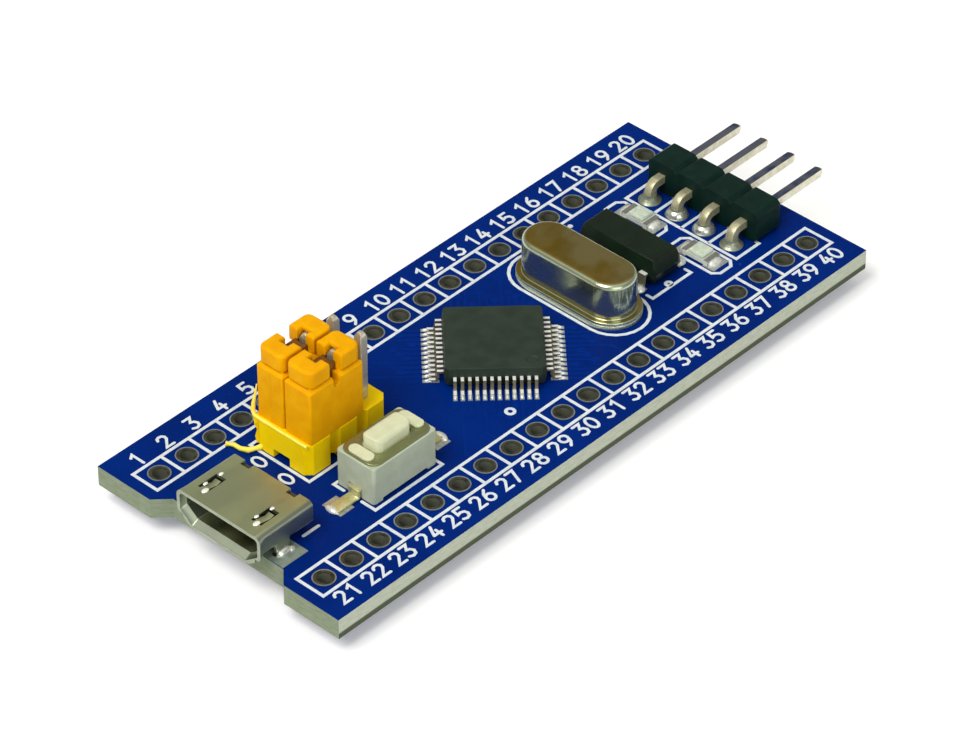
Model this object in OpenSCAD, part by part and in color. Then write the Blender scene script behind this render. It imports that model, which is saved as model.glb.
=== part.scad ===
// Microcontroller development board: a narrow module with two rows of header holes, a USB
// socket, two boot jumpers, a reset switch, two crystals and a right-angle debug header.
// The origin is the centre of the two hole rows, on the underside of the board.
// X runs from the USB socket to the debug header, and Z rises out of the component side.

/* [Board] */
// Length of the board along X
board_l = 52.8; // [52:0.1:60]
// Width of the board along Y
board_w = 22.3; // [19:0.1:30]
// Thickness of the laminate
board_t = 1.6; // [1.2:0.1:2]
// Width of the cut-out's floor under the USB socket's mouth
notch_w = 10.2; // [9:0.1:12]
// Depth of that cut-out
notch_depth = 1.1; // [0.6:0.1:1.6]

/* [Header holes] */
// Pitch of every row of holes and pins
pitch = 2.54; // [2.5:0.01:2.6]
// Holes in each of the two rows
row_count = 20; // [14:1:20]
// Distance between the two rows
row_gap = 15.24; // [14.5:0.02:17]
// Diameter of a finished hole
hole_d = 1; // [0.95:0.01:1.1]
// Diameter of the ring of copper round a hole
pad_d = 1.6; // [1.4:0.05:1.9]
// Thickness of the copper lands
pad_t = 0.05; // [0.03:0.01:0.08]

/* [USB socket] */
// Width of the shell
usb_w = 7.4; // [6.8:0.1:8]
// Height of the shell
usb_h = 2.5; // [2.3:0.05:2.9]
// Length of the shell with its lips
usb_l = 5; // [4.8:0.1:5.6]
// Sheet thickness of the shell
usb_wall = 0.28; // [0.2:0.01:0.3]
// Width of the shell's floor between its slanted sides
usb_floor_w = 5.6; // [5:0.1:6]
// Height at which the sides start to slant in
usb_slant_z = 1.1; // [0.9:0.05:1.3]
// Corner radius of the folded sheet
usb_corner_r = 0.4; // [0.35:0.01:0.5]
// Reach of the mouth past the cut-out's floor
usb_overhang = 1; // [0.7:0.1:1.4]
// Length of the flared lips
usb_lip = 0.5; // [0.3:0.05:0.6]
// Spread of the flared lips at the sides; the lower lip spreads twice as far, the upper one not at all
usb_flare = 0.15; // [0.1:0.05:0.2]
// Pitch of the five contacts
usb_contact_pitch = 0.65; // [0.6:0.01:0.7]
// Place of the socket's middle along Y
usb_y = -0.2; // [-0.4:0.05:0.4]

/* [Controller] */
// Side of the controller's moulded body
mcu_body = 7; // [6.5:0.1:7.5]
// Height of that body
mcu_h = 1.4; // [1.2:0.05:1.6]
// Distance between the lead tips of two opposite sides
mcu_span = 9; // [8.8:0.05:9.4]
// Leads on each side
mcu_side_leads = 12; // [8:1:12]
// Lead pitch
mcu_pitch = 0.5; // [0.45:0.01:0.52]
// Lead width
mcu_lead_w = 0.22; // [0.18:0.01:0.27]
// Turn of the body about Z
mcu_turn = 45; // [40:1:50]
// Place of its centre along X, on a board of the drawn length
mcu_x = 0.1; // [-0.5:0.1:0.5]
// Place of its centre along Y
mcu_y = 0; // [-0.5:0.1:0.5]

/* [Can crystal] */
// Length of the can along Y
can_l = 9.5; // [9.2:0.1:10.6]
// Width of the can
can_w = 3.7; // [3.5:0.1:4.2]
// Height of the whole crystal
can_h = 3.5; // [3.2:0.1:4.2]
// Sheet thickness of the can
can_wall = 0.25; // [0.2:0.01:0.3]
// Radius of the can's top edge
can_round = 0.4; // [0.3:0.05:0.6]
// Reach of the flange past the can
can_flange = 0.42; // [0.3:0.02:0.5]
// Thickness of the base plate under the flange
can_base_t = 0.35; // [0.25:0.05:0.5]
// Distance between the two leads
can_lead_pitch = 4.88; // [4.6:0.02:5.1]
// Lead diameter
can_lead_d = 0.43; // [0.38:0.01:0.48]
// Place of its centre along X, on a board of the drawn length
can_x = 9.1; // [8.8:0.05:9.4]
// Place of its centre along Y
can_y = 0.32; // [-0.4:0.02:0.4]

/* [Watch crystal] */
// Length of the moulded block along Y
watch_l = 7.1; // [6.6:0.1:7.8]
// Width of the block
watch_w = 3; // [2.8:0.1:3.3]
// Height of the block
watch_h = 2.1; // [2:0.1:2.6]
// Distance between the lead tips across the block
watch_span = 4.4; // [4.2:0.05:4.6]
// Distance between the two leads of one side
watch_lead_pitch = 5.5; // [5:0.05:5.8]
// Place of its centre along X, on a board of the drawn length
watch_x = 14.3; // [14.2:0.05:14.6]
// Place of its centre along Y
watch_y = 0.3; // [-0.5:0.05:0.5]

/* [Pin headers] */
// Side of the square pins
pin_w = 0.64; // [0.6:0.01:0.66]
// Height of the plastic that holds the pins
header_h = 2.54; // [2.3:0.02:2.7]
// Chamfer between two cells of the boot header
boot_chamfer = 0.5; // [0.2:0.05:0.55]
// Chamfer between two cells of the debug header
debug_chamfer = 0.3; // [0.2:0.05:0.55]
// Reach of a pin below the plastic
pin_tail = 3; // [2.8:0.05:3.4]
// Reach of a boot pin above the plastic
boot_pin_up = 5.5; // [5.3:0.05:5.8]
// Columns of boot pins
boot_cols = 3; // [2:1:4]
// Centre of the boot header along X, on a board of the drawn length
boot_x = -13.97; // [-14.2:0.01:-13.6]
// Centre of the boot header along Y
boot_y = 2.54; // [2.3:0.02:2.9]
// Ways of the debug header
debug_ways = 4; // [3:1:5]
// Distance of the debug header's legs from the board's end
debug_in = 5.95; // [5.6:0.05:6.1]
// Gap from the leg's axis to the debug header's plastic
debug_gap = 1.2; // [1.1:0.05:1.4]
// Reach of the debug pins out of the plastic
debug_out = 6; // [5.5:0.1:7]

/* [Jumper caps] */
// Length of a cap along X
cap_l = 5; // [4.8:0.05:5.1]
// Width of a cap
cap_w = 2.46; // [2.3:0.02:2.48]
// Height of a cap
cap_h = 5.9; // [5.7:0.05:6.2]
// Height of the shoulder under the cap's neck
cap_shoulder_z = 4.4; // [4:0.05:4.5]
// Height of the neck between shoulder and rim
cap_neck_h = 0.25; // [0.2:0.05:0.4]
// Length of the rim on top
cap_rim_l = 4.8; // [4.6:0.05:4.9]
// Width of the rim
cap_rim_w = 2.3; // [2.1:0.05:2.35]
// Width of the notch across the rim
cap_notch = 1.1; // [0.8:0.05:1.2]
// Width of the slit below that notch
cap_slit = 0.5; // [0.3:0.05:0.6]
// Play of a cap along X, all of it taken up towards the free pins
cap_play = 0.3; // [0.1:0.05:0.3]
// Sheet thickness of the contact clip
clip_t = 0.2; // [0.15:0.01:0.22]
// Clearance of the clip round a pin
clip_clear = 0.04; // [0.02:0.01:0.05]

/* [Reset switch] */
// Length of the housing along X
reset_l = 6; // [5.8:0.05:6.4]
// Width of the housing
reset_w = 3.45; // [3.4:0.05:3.9]
// Height of the housing under its cover
reset_h = 3; // [2.8:0.05:3.4]
// Sheet thickness of the cover
cover_t = 0.15; // [0.1:0.01:0.2]
// Length of the push button
plunger_l = 3.2; // [2.8:0.05:3.2]
// Width of the push button
plunger_w = 1.7; // [1.5:0.05:1.8]
// Reach of the push button above the cover
plunger_up = 0.9; // [0.7:0.05:1.2]
// Travel of the push button
plunger_travel = 0.25; // [0.15:0.01:0.3]
// Clearance of the push button in the cover's window
plunger_clear = 0.1; // [0.05:0.01:0.12]
// Distance between the tips of the two terminals
reset_span = 10; // [9.6:0.1:10.4]
// Width of a terminal
reset_term_w = 1.2; // [1:0.05:1.4]
// Place of its centre along X, on a board of the drawn length
reset_x = -13.85; // [-14.2:0.05:-13.5]
// Place of its centre along Y
reset_y = -3.35; // [-3.4:0.05:-2.9]

/* [Indicator lights] */
// Length of a light along Y
led_l = 2.4; // [2:0.1:2.6]
// Width of a light
led_w = 1.3; // [1.1:0.05:1.4]
// Height of a light
led_h = 0.65; // [0.6:0.05:0.9]
// Offset of the power light along X from the middle of its room
power_led_off = -0.05; // [-0.3:0.05:0.3]
// Place of the power light along Y
power_led_y = -3.1; // [-3.4:0.05:-2.6]
// Offset of the user light along X from the middle of its room
user_led_off = 0.25; // [-0.3:0.05:0.3]
// Place of the user light along Y
user_led_y = 2.8; // [2.6:0.05:3.4]

/* [Chip parts on the underside] */
// Length of a chip resistor or capacitor
chip_l = 1.6; // [1.5:0.05:1.7]
// Width of a chip
chip_w = 0.8; // [0.75:0.05:0.9]
// Height of a chip resistor
resistor_h = 0.45; // [0.4:0.05:0.55]
// Height of a chip capacitor
capacitor_h = 0.8; // [0.7:0.05:0.9]
// Length of a chip's metal end
chip_end = 0.3; // [0.2:0.05:0.4]
// Length of the regulator's body
reg_l = 2.9; // [2.8:0.05:3.1]
// Width of the regulator's body
reg_w = 1.6; // [1.5:0.05:1.7]
// Height of the regulator's body
reg_h = 1; // [0.9:0.05:1.1]
// Distance between the regulator's opposite lead tips
reg_span = 2.8; // [2.6:0.05:2.9]
// Lead pitch of the regulator
reg_pitch = 0.95; // [0.9:0.01:0.96]

/* [Hidden] */
$fn = 48;

// Reach of a cutting shape past the face that it cuts
cut = 0.01;
// Height of the lands on which leads stand
seat_z = board_t + pad_t;
// Length of the board for which the places along X are given, and how they follow another length
drawn_l = 52.8;
spread = board_l / drawn_l;
mcu_cx = mcu_x * spread;
can_cx = can_x * spread;
watch_cx = watch_x * spread;
boot_cx = boot_x * spread;
reset_cx = reset_x * spread;

// USB socket
usb_mouth_x = -board_l / 2 + notch_depth - usb_overhang;
usb_rear_x = usb_mouth_x + usb_l;
usb_slant = atan2(usb_slant_z - usb_corner_r, (usb_w - usb_floor_w) / 2);
usb_arc_steps = 6;
usb_leg_l = 1.2;
usb_leg_tail = 0.7;
usb_leg_back = 1.2;
usb_leg_x = usb_mouth_x + usb_overhang + usb_leg_back;
usb_leg_y = usb_w / 2 - usb_wall / 2;
usb_slot_clear = 0.15;
usb_land = [2.3, 1.85];
usb_land_out = 0.35;
usb_block_l = 1.3;
usb_tongue_w = 3.8;
usb_tongue_t = 0.6;
usb_tongue_l = 2.5;
usb_tongue_z = usb_h / 2;
usb_contact_w = 0.28;
usb_contact_t = 0.12;
usb_contact_inset = 0.35;
usb_tail_gap = 0.25;
usb_tail_foot = 0.7;
usb_window_l = 1.7;
usb_window_w = 0.9;
usb_window_y = 2.45;
usb_window_back = 1.05;
usb_window_x = usb_mouth_x + usb_window_back;
usb_finger_w = 0.5;
usb_finger_gap = 0.3;
usb_finger_dip = 0.2;
usb_finger_curl = 0.1;
usb_finger_bend = 0.75;
usb_rear_cut = [0.5, 0.8];
usb_rear_cut_y = 2.1;
usb_lip_slit = 0.33;
usb_slice = 0.02;

// Moulded packages with bent leads
lead_slope = 0.12;
mould_draft = 0.12;

// Controller
mcu_standoff = 0.1;
mcu_lead_t = 0.15;
mcu_foot = 0.6;
mcu_corner = 0.4;
mcu_dimple_d = 0.9;
mcu_dimple_depth = 0.08;
mcu_dimple_in = 0.95;
mcu_land_more = 0.08;
mcu_land_toe = 0.3;

// Can crystal
can_flange_t = 0.25;
can_straight = can_l - can_w;
can_lead_hole = 0.8;
can_lead_tail = 0.9;
can_lead_head = 0.35;
can_seal_d = 1.1;
can_blank = [0.2, 7.2, 1.6];
can_clip = [0.9, 0.8, 1.5];
can_clip_lift = 0.15;
can_clip_z = can_base_t + can_clip_lift;
can_blank_lift = 0.35;
can_blank_z = can_clip_z + can_blank_lift;

// Watch crystal
watch_draft = 0.32;
watch_lead_t = 0.15;
watch_lead_w = 0.6;
watch_foot = 0.4;
watch_standoff = 0.05;

// Pin headers
header_d = 2.5;
pin_taper = 0.35;
pin_tip = 0.3;
pin_bend_r = 0.62;
boot_rows = 2;
relief_w = 0.9;
relief_h = 0.4;
relief_mid = [1.5, 0.7];
header_top = board_t + header_h;
debug_x = board_l / 2 - debug_in;
debug_axis_z = board_t + header_h / 2;
debug_body_x = debug_x + debug_gap;
pin_hole_d = hole_d;
pin_pad_more = 0.1;
pin_pad_d = pad_d + pin_pad_more;

// Jumper caps
cap_lift = 0.02;
cap_edge_r = 0.2;
cap_rim_r = 0.55;
cap_chamfer = 0.2;
cap_neck_in = 0.2;
cap_notch_deep = 0.75;
cap_notch_floor = cap_shoulder_z - cap_notch_deep;
cap_window_l = 2.1;
cap_pin_gap = 0.05;
clip_end = 0.12;
clip_z = 0.35;
clip_in = pin_w / 2 + clip_clear;
clip_l = pitch + pin_w + 2 * (clip_clear + clip_end);
clip_over = 0.6;
clip_h = cap_shoulder_z - clip_z + clip_over;
clip_bridge_l = 1.5;
cavity_l = clip_l + 2 * cap_play;
cavity_w = 2 * (clip_in + clip_t);
slot_clear = 0.06;
slot_w = pin_w + 2 * slot_clear;
slot_l = pitch + slot_w + 2 * cap_play;
slot_h = boot_pin_up - cap_lift + cap_pin_gap;
cap_x = boot_cx - (boot_cols / 2 - 1) * pitch;

// Reset switch
reset_edge_r = 0.25;
cover_inset = 0.12;
cover_r = 0.75;
rivet = [0.7, 1.9];
rivet_head = [0.85, 2.05];
rivet_head_h = 0.18;
rivet_depth = 0.8;
rivet_in = 0.65;
well_wall_x = 1.15;
well_wall_y = 0.45;
well_floor = 0.8;
flange_h = 0.5;
flange_lip = 0.2;
flange_lift = 0.02;
plunger_r = 0.5;
plunger_crown = 0.4;
plunger_boss_d = 1.2;
dome_d = 2.3;
dome_rest_h = 0.15;
dome_h = plunger_travel + dome_rest_h;
dome_t = 0.08;
dome_gap = 0.02;
reset_term_t = 0.2;
reset_term_in = 1.6;
reset_foot = 1.3;
housing_slit = [4.2, 0.3, 0.2];

// Lights, chips and regulator
led_room_x = (watch_cx + watch_span / 2 + debug_x - pin_pad_d / 2) / 2;
power_led_at = [led_room_x + power_led_off, power_led_y];
user_led_at = [led_room_x + user_led_off, user_led_y];
led_base_h = 0.35;
led_end = 0.4;
led_end_t = 0.05;
led_lens_in = 0.12;
led_lens_draft = 0.1;
chip_end_t = 0.03;
chip_land = [0.9, 0.95];
reg_standoff = 0.05;
reg_lead_t = 0.13;
reg_lead_w = 0.4;
reg_foot = 0.35;
reg_at = [-6.2, 3.9];
land_more = 0.25;
solder_h = 0.75;
leg_solder_gap = 0.1;
leg_solder_h = header_h / 2 - pin_bend_r - leg_solder_gap;
solder_top_wall = 0.04;
solder_steps = 4;

// Places of the chips on the underside: X, Y and turn about Z
capacitor_spots = [[-9.4, 4, 90], [-3.2, 4, 90], [3.4, 4.3, 0], [3.4, -4.3, 0], [-3.2, -4.3, 0],
                   [5.6, 0.3, 90], [12.6, 3, 90], [12.6, -2.4, 90], [-13.9, -3.4, 0],
                   [-8.2, -4.3, 0]];
resistor_spots = [[17, 4.4, 0], [17, -4.4, 0], [-20.2, 1.4, 0], [-20.2, -1.4, 0], [-19.8, 4.2, 90],
                  [-19.8, -4.2, 90], [-16.6, -0.9, 0], [15.2, 0.4, 90], [-11.2, -1.2, 90]];

// Repeats a child over the two rows of header holes
module at_header_holes() {
  for (side = [-1, 1], i = [0 : row_count - 1])
    translate([(i - (row_count - 1) / 2) * pitch, side * row_gap / 2, 0]) children();
}

// Repeats a child over the boot pins
module at_boot_pins() {
  for (i = [0 : boot_cols - 1], j = [0 : boot_rows - 1])
    translate([boot_cx + (i - (boot_cols - 1) / 2) * pitch,
               boot_y + (j - (boot_rows - 1) / 2) * pitch, 0]) children();
}

// Repeats a child over the debug header's legs
module at_debug_legs() {
  for (i = [0 : debug_ways - 1])
    translate([debug_x, (i - (debug_ways - 1) / 2) * pitch, 0]) children();
}

// Repeats a child over the can crystal's leads
module at_can_leads() {
  for (side = [-1, 1])
    translate([can_cx, can_y + side * can_lead_pitch / 2, 0]) children();
}

// Puts a child that stands on z = 0 under the board, on its lower lands
module on_underside(spot, lift) {
  translate([spot[0] * spread, spot[1], -lift]) rotate([180, 0, 0]) rotate(spot[2]) children();
}

// Rectangle with round corners
module rounded_square(l, w, r) {
  square([l - 2 * r, w], center = true);
  square([l, w - 2 * r], center = true);
  for (x = [-1, 1], y = [-1, 1]) translate([x * (l / 2 - r), y * (w / 2 - r)]) circle(r);
}

// Oval with round ends along Y
module oval(w, l) {
  square([w, l - w], center = true);
  for (y = [-1, 1]) translate([0, y * (l - w) / 2]) circle(d = w);
}

// Flat ring of copper round a hole
module pad_ring(hole, pad) {
  difference() {
    cylinder(d = pad, h = pad_t);
    translate([0, 0, -cut]) cylinder(d = hole, h = pad_t + 2 * cut);
  }
}

// Flat rectangular land
module land(l, w) {
  translate([-l / 2, -w / 2, 0]) cube([l, w, pad_t]);
}

// Hollow solder fillet round a square pin or, with round set, a wire
module solder_fillet(pad, pin, h, round) {
  top_r = (round ? pin / 2 : pin / sqrt(2)) + solder_top_wall;
  steps = [for (i = [0 : solder_steps]) i / solder_steps];
  difference() {
    rotate_extrude()
      polygon(concat([[0, 0]], [for (t = steps) [top_r + (pad / 2 - top_r) * pow(1 - t, 2), h * t]],
                     [[0, h]]));
    translate([0, 0, -cut])
      if (round) cylinder(d = pin, h = h + 2 * cut);
      else translate([-pin / 2, -pin / 2, 0]) cube([pin, pin, h + 2 * cut]);
  }
}

// Section of a moulded package: a flat band at the leads' height, drafted above and below
module mould_section(w, h, draft, band_z, band_t) {
  polygon([[-w / 2 + draft, 0], [w / 2 - draft, 0], [w / 2, band_z], [w / 2, band_z + band_t],
           [w / 2 - draft, h], [-w / 2 + draft, h], [-w / 2, band_z + band_t], [-w / 2, band_z]]);
}

// Moulded package with drafted sides and cut corners, on z = 0
module moulded_body(l, w, h, draft, band_z, band_t, corner) {
  intersection() {
    rotate([90, 0, 0]) linear_extrude(w, center = true)
      mould_section(l, h, draft, band_z, band_t);
    rotate([90, 0, 90]) linear_extrude(l, center = true)
      mould_section(w, h, draft, band_z, band_t);
    linear_extrude(h) intersection() {
      square([l, w], center = true);
      rotate(45) square((l + w) / sqrt(2) - sqrt(2) * corner, center = true);
    }
  }
}

// Bent lead that leaves a body at x = 0 and stands on z = 0 at its foot
module gull_lead(reach, drop, t, w, foot) {
  shoulder = reach - foot - lead_slope;
  rotate([90, 0, 0]) linear_extrude(w, center = true)
    polygon([[0, drop], [shoulder, drop], [shoulder + lead_slope, 0], [reach, 0], [reach, t],
             [shoulder + lead_slope + t, t], [shoulder + t, drop + t], [0, drop + t]]);
}

// Eight-sided outline of one header cell, its chamfer given
module cell_outline(w, h, c) {
  polygon([[-w / 2 + c, 0], [w / 2 - c, 0], [w / 2, c], [w / 2, h - c], [w / 2 - c, h],
           [-w / 2 + c, h], [-w / 2, h - c], [-w / 2, c]]);
}

// Square pin from z = 0 upwards, tapered at both ends
module square_pin(l) {
  intersection_for(turn = [0, 90])
    rotate(turn) rotate([90, 0, 0]) linear_extrude(pin_w, center = true)
      polygon([[-pin_tip / 2, 0], [pin_tip / 2, 0], [pin_w / 2, pin_taper],
               [pin_w / 2, l - pin_taper], [pin_tip / 2, l], [-pin_tip / 2, l],
               [-pin_w / 2, l - pin_taper], [-pin_w / 2, pin_taper]]);
}

// Slots of the board for the USB shell's legs
module usb_slots() {
  for (side = [-1, 1]) translate([usb_leg_x, side * usb_leg_y]) rotate(90)
    oval(usb_wall + 2 * usb_slot_clear, usb_leg_l + 2 * usb_slot_clear);
}

// Lands round those slots
module usb_leg_lands() {
  linear_extrude(pad_t) difference() {
    for (side = [-1, 1])
      translate([usb_leg_x, side * (usb_leg_y + usb_land_out)]) square(usb_land, center = true);
    usb_slots();
  }
}

module board() {
  color("mediumblue") linear_extrude(board_t) difference() {
    square([board_l, board_w], center = true);
    translate([-board_l / 2, 0])
      polygon([[notch_depth, -notch_w / 2], [notch_depth, notch_w / 2],
               [-notch_depth, notch_w / 2 + 2 * notch_depth],
               [-notch_depth, -notch_w / 2 - 2 * notch_depth]]);
    at_header_holes() circle(d = hole_d);
    at_boot_pins() circle(d = pin_hole_d);
    at_debug_legs() circle(d = pin_hole_d);
    at_can_leads() circle(d = can_lead_hole);
    translate([0, usb_y]) usb_slots();
  }
}

module header_pads() {
  color("silver") at_header_holes() {
    translate([0, 0, board_t]) pad_ring(hole_d, pad_d);
    translate([0, 0, -pad_t]) pad_ring(hole_d, pad_d);
  }
}

module through_pads() {
  color("silver") {
    translate([0, 0, -pad_t]) {
      at_boot_pins() pad_ring(pin_hole_d, pin_pad_d);
      at_debug_legs() pad_ring(pin_hole_d, pin_pad_d);
      at_can_leads() pad_ring(can_lead_hole, pin_pad_d);
      translate([0, usb_y, 0]) usb_leg_lands();
    }
    translate([0, 0, board_t]) {
      at_debug_legs() pad_ring(pin_hole_d, pin_pad_d);
      translate([0, usb_y, 0]) usb_leg_lands();
    }
  }
}

// Lands of the controller, the switch, the watch crystal, the lights and the USB contacts
module top_lands() {
  translate([mcu_cx, mcu_y, 0]) rotate(mcu_turn)
    at_mcu_leads() translate([mcu_span / 2 - mcu_foot / 2 + mcu_land_toe / 2, 0, 0])
      land(mcu_foot + land_more + mcu_land_toe, mcu_lead_w + mcu_land_more);
  translate([reset_cx, reset_y, 0]) for (side = [0, 180]) rotate(side)
    translate([reset_span / 2 - reset_foot / 2 + land_more, 0, 0])
      land(reset_foot, reset_term_w + 2 * land_more);
  translate([watch_cx, watch_y, 0]) at_watch_leads()
    translate([watch_span / 2 - watch_foot / 2, 0, 0])
      land(watch_foot + land_more, watch_lead_w + land_more);
  for (spot = [power_led_at, user_led_at], side = [-1, 1])
    translate([spot[0], spot[1] + side * (led_l / 2 + land_more / 2), 0])
      land(led_w + land_more, 2 * led_end + land_more);
  at_usb_contacts() translate([usb_rear_x + usb_tail_gap + usb_tail_foot / 2, usb_y, 0])
    land(usb_tail_foot + land_more, usb_contact_w + land_more / 2);
}

// Lands of the chips and the regulator
module bottom_lands() {
  for (spot = concat(capacitor_spots, resistor_spots)) on_underside(spot, 0)
    for (side = [-1, 1]) translate([side * chip_l / 2, 0, 0]) land(chip_land[0], chip_land[1]);
  on_underside(concat(reg_at, 0), 0) at_reg_leads()
    translate([reg_span / 2 - reg_foot / 2, 0, 0])
      land(reg_foot + land_more, reg_lead_w + land_more / 2);
}

module chip_pads() {
  color("silver") {
    translate([0, 0, board_t]) top_lands();
    bottom_lands();
  }
}

// Corner arc of the USB section
function usb_arc(centre, r, from, to) =
  [for (i = [0 : usb_arc_steps]) let (a = from + (to - from) * i / usb_arc_steps)
    centre + r * [cos(a), sin(a)]];

// Outline of the USB section in Y and Z, inset from the shell's outer face
function usb_outline(inset) =
  let (r = usb_corner_r - inset,
       wide = usb_w / 2 - usb_corner_r,
       narrow = usb_floor_w / 2 - usb_corner_r,
       low = usb_corner_r,
       high = usb_h - usb_corner_r,
       turn = 90 - usb_slant)
  concat(usb_arc([wide, high], r, 0, 90), usb_arc([-wide, high], r, 90, 180),
         usb_arc([-wide, usb_slant_z], r, 180, 180 + turn),
         usb_arc([-narrow, low], r, 180 + turn, 270),
         usb_arc([narrow, low], r, 270, 360 - turn),
         usb_arc([wide, usb_slant_z], r, 360 - turn, 360));

// Prism of the USB section along X
module usb_prism(inset, x, l) {
  translate([x, 0, board_t]) rotate([90, 0, 90]) linear_extrude(l) polygon(usb_outline(inset));
}

// Flaring solid from the mouth back to the straight part of the shell, level on top
module usb_flared(inset) {
  hull() {
    translate([0, 0, -usb_flare]) usb_prism(inset - usb_flare, usb_mouth_x, usb_slice);
    usb_prism(inset, usb_mouth_x + usb_lip, usb_slice);
  }
}

// Spring finger stamped out of the shell's top, bent inwards and curled up at its tip
module usb_finger() {
  tip = usb_window_l - usb_finger_gap;
  bend = usb_finger_bend * tip;
  low = -usb_finger_dip;
  end = low + usb_finger_curl;
  rotate([90, 0, 0]) linear_extrude(usb_finger_w, center = true)
    polygon([[-usb_wall, 0], [0, 0], [bend, low], [tip, end], [tip, end - usb_wall],
             [bend, low - usb_wall], [0, -usb_wall], [-usb_wall, -usb_wall]]);
}

module usb_shell() {
  lip_gap = 2 * usb_corner_r;
  lip_drop = 2 * usb_flare + cut;
  color("silver") translate([0, usb_y, 0]) {
    difference() {
      usb_prism(0, usb_mouth_x + usb_lip, usb_l - usb_lip);
      usb_prism(usb_wall, usb_mouth_x, usb_l + cut);
      for (side = [-1, 1]) {
        translate([usb_window_x, side * usb_window_y - usb_window_w / 2,
                   board_t + usb_h - 2 * usb_wall])
          cube([usb_window_l, usb_window_w, 3 * usb_wall]);
        translate([usb_rear_x - usb_rear_cut[0], side * usb_rear_cut_y - usb_rear_cut[1] / 2,
                   board_t + usb_h - 2 * usb_wall])
          cube([usb_rear_cut[0] + cut, usb_rear_cut[1], 3 * usb_wall]);
      }
    }
    difference() {
      usb_flared(0);
      usb_flared(usb_wall);
      translate([usb_mouth_x - cut, 0, board_t - lip_drop]) for (side = [-1, 1])
        translate([0, side * usb_w / 2 - lip_gap / 2, 0])
          cube([usb_lip_slit, lip_gap, lip_drop + usb_slant_z / 2]);
    }
    for (side = [-1, 1]) {
      translate([usb_window_x, side * usb_window_y, board_t + usb_h]) usb_finger();
      translate([usb_leg_x - usb_leg_l / 2, side * usb_leg_y - usb_wall / 2, -usb_leg_tail])
        cube([usb_leg_l, usb_wall, board_t + usb_leg_tail + usb_slant_z + usb_corner_r]);
    }
  }
}

// Repeats a child over the USB contacts
module at_usb_contacts() {
  for (i = [-2 : 2]) translate([0, i * usb_contact_pitch, 0]) children();
}

// One contact: a strip under the tongue that drops to its land behind the shell
module usb_contact() {
  front = usb_rear_x - usb_block_l - usb_tongue_l + usb_contact_inset;
  back = usb_rear_x + usb_tail_gap;
  high = board_t + usb_tongue_z;
  low = high - usb_contact_t;
  rotate([90, 0, 0]) linear_extrude(usb_contact_w, center = true)
    polygon([[front, low], [back, low], [back, seat_z], [back + usb_tail_foot, seat_z],
             [back + usb_tail_foot, seat_z + usb_contact_t],
             [back + usb_contact_t, seat_z + usb_contact_t], [back + usb_contact_t, high],
             [front, high]]);
}

module usb_contacts() {
  color("gold") translate([0, usb_y, 0]) at_usb_contacts() usb_contact();
}

module usb_insulator() {
  color("dimgray") translate([0, usb_y, 0]) difference() {
    union() {
      usb_prism(usb_wall, usb_rear_x - usb_block_l, usb_block_l);
      translate([usb_rear_x - usb_block_l - usb_tongue_l, -usb_tongue_w / 2, board_t + usb_tongue_z])
        cube([usb_tongue_l + cut, usb_tongue_w, usb_tongue_t]);
    }
    at_usb_contacts() usb_contact();
  }
}

// Repeats a child over the four rows of controller leads, X outwards
module at_mcu_leads() {
  for (side = [0 : 3], i = [0 : mcu_side_leads - 1])
    rotate(side * 90) translate([0, (i - (mcu_side_leads - 1) / 2) * mcu_pitch, 0]) children();
}

module controller_body() {
  band_z = (mcu_h - mcu_lead_t) / 2;
  dimple = mcu_body / 2 - mcu_dimple_in;
  color("dimgray") translate([mcu_cx, mcu_y, seat_z + mcu_standoff]) rotate(mcu_turn)
    difference() {
      moulded_body(mcu_body, mcu_body, mcu_h, mould_draft, band_z, mcu_lead_t, mcu_corner);
      translate([-dimple, -dimple, mcu_h - mcu_dimple_depth])
        cylinder(d = mcu_dimple_d, h = 2 * mcu_dimple_depth);
    }
}

module controller_leads() {
  drop = mcu_standoff + (mcu_h - mcu_lead_t) / 2;
  color("silver") translate([mcu_cx, mcu_y, seat_z]) rotate(mcu_turn)
    at_mcu_leads() translate([mcu_body / 2, 0, 0])
      gull_lead((mcu_span - mcu_body) / 2, drop, mcu_lead_t, mcu_lead_w, mcu_foot);
}

// Half section of a straight wall with a round top edge
module domed_section(r, h, round) {
  square([r, h - round]);
  square([r - round, h]);
  translate([r - round, h - round]) circle(round);
}

// Round-ended solid along Y with that section
module domed_solid(r, h, round) {
  for (side = [0, 1]) mirror([0, side, 0]) translate([0, can_straight / 2, 0])
    rotate_extrude(angle = 180) domed_section(r, h, round);
  rotate([90, 0, 0]) linear_extrude(can_straight, center = true)
    for (side = [0, 1]) mirror([side, 0]) domed_section(r, h, round);
}

module crystal_can() {
  rise = can_h - can_base_t;
  color("lightgray") translate([can_cx, can_y, board_t + can_base_t]) difference() {
    union() {
      linear_extrude(can_flange_t) oval(can_w + 2 * can_flange, can_l + 2 * can_flange);
      domed_solid(can_w / 2, rise, can_round);
    }
    translate([0, 0, -cut])
      domed_solid(can_w / 2 - can_wall, rise - can_wall + cut, can_round - can_wall / 2);
  }
}

module crystal_base() {
  color("lightgray") difference() {
    translate([can_cx, can_y, board_t])
      linear_extrude(can_base_t) oval(can_w + 2 * can_flange, can_l + 2 * can_flange);
    at_can_leads() translate([0, 0, board_t - cut])
      cylinder(d = can_seal_d, h = can_base_t + 2 * cut);
  }
}

module crystal_seals() {
  color("darkslategray") at_can_leads() translate([0, 0, board_t]) difference() {
    cylinder(d = can_seal_d, h = can_base_t);
    translate([0, 0, -cut]) cylinder(d = can_lead_d, h = can_base_t + 2 * cut);
  }
}

module crystal_leads() {
  color("silver") at_can_leads() translate([0, 0, -can_lead_tail])
    cylinder(d = can_lead_d, h = can_lead_tail + board_t + can_base_t + can_lead_head);
}

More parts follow.
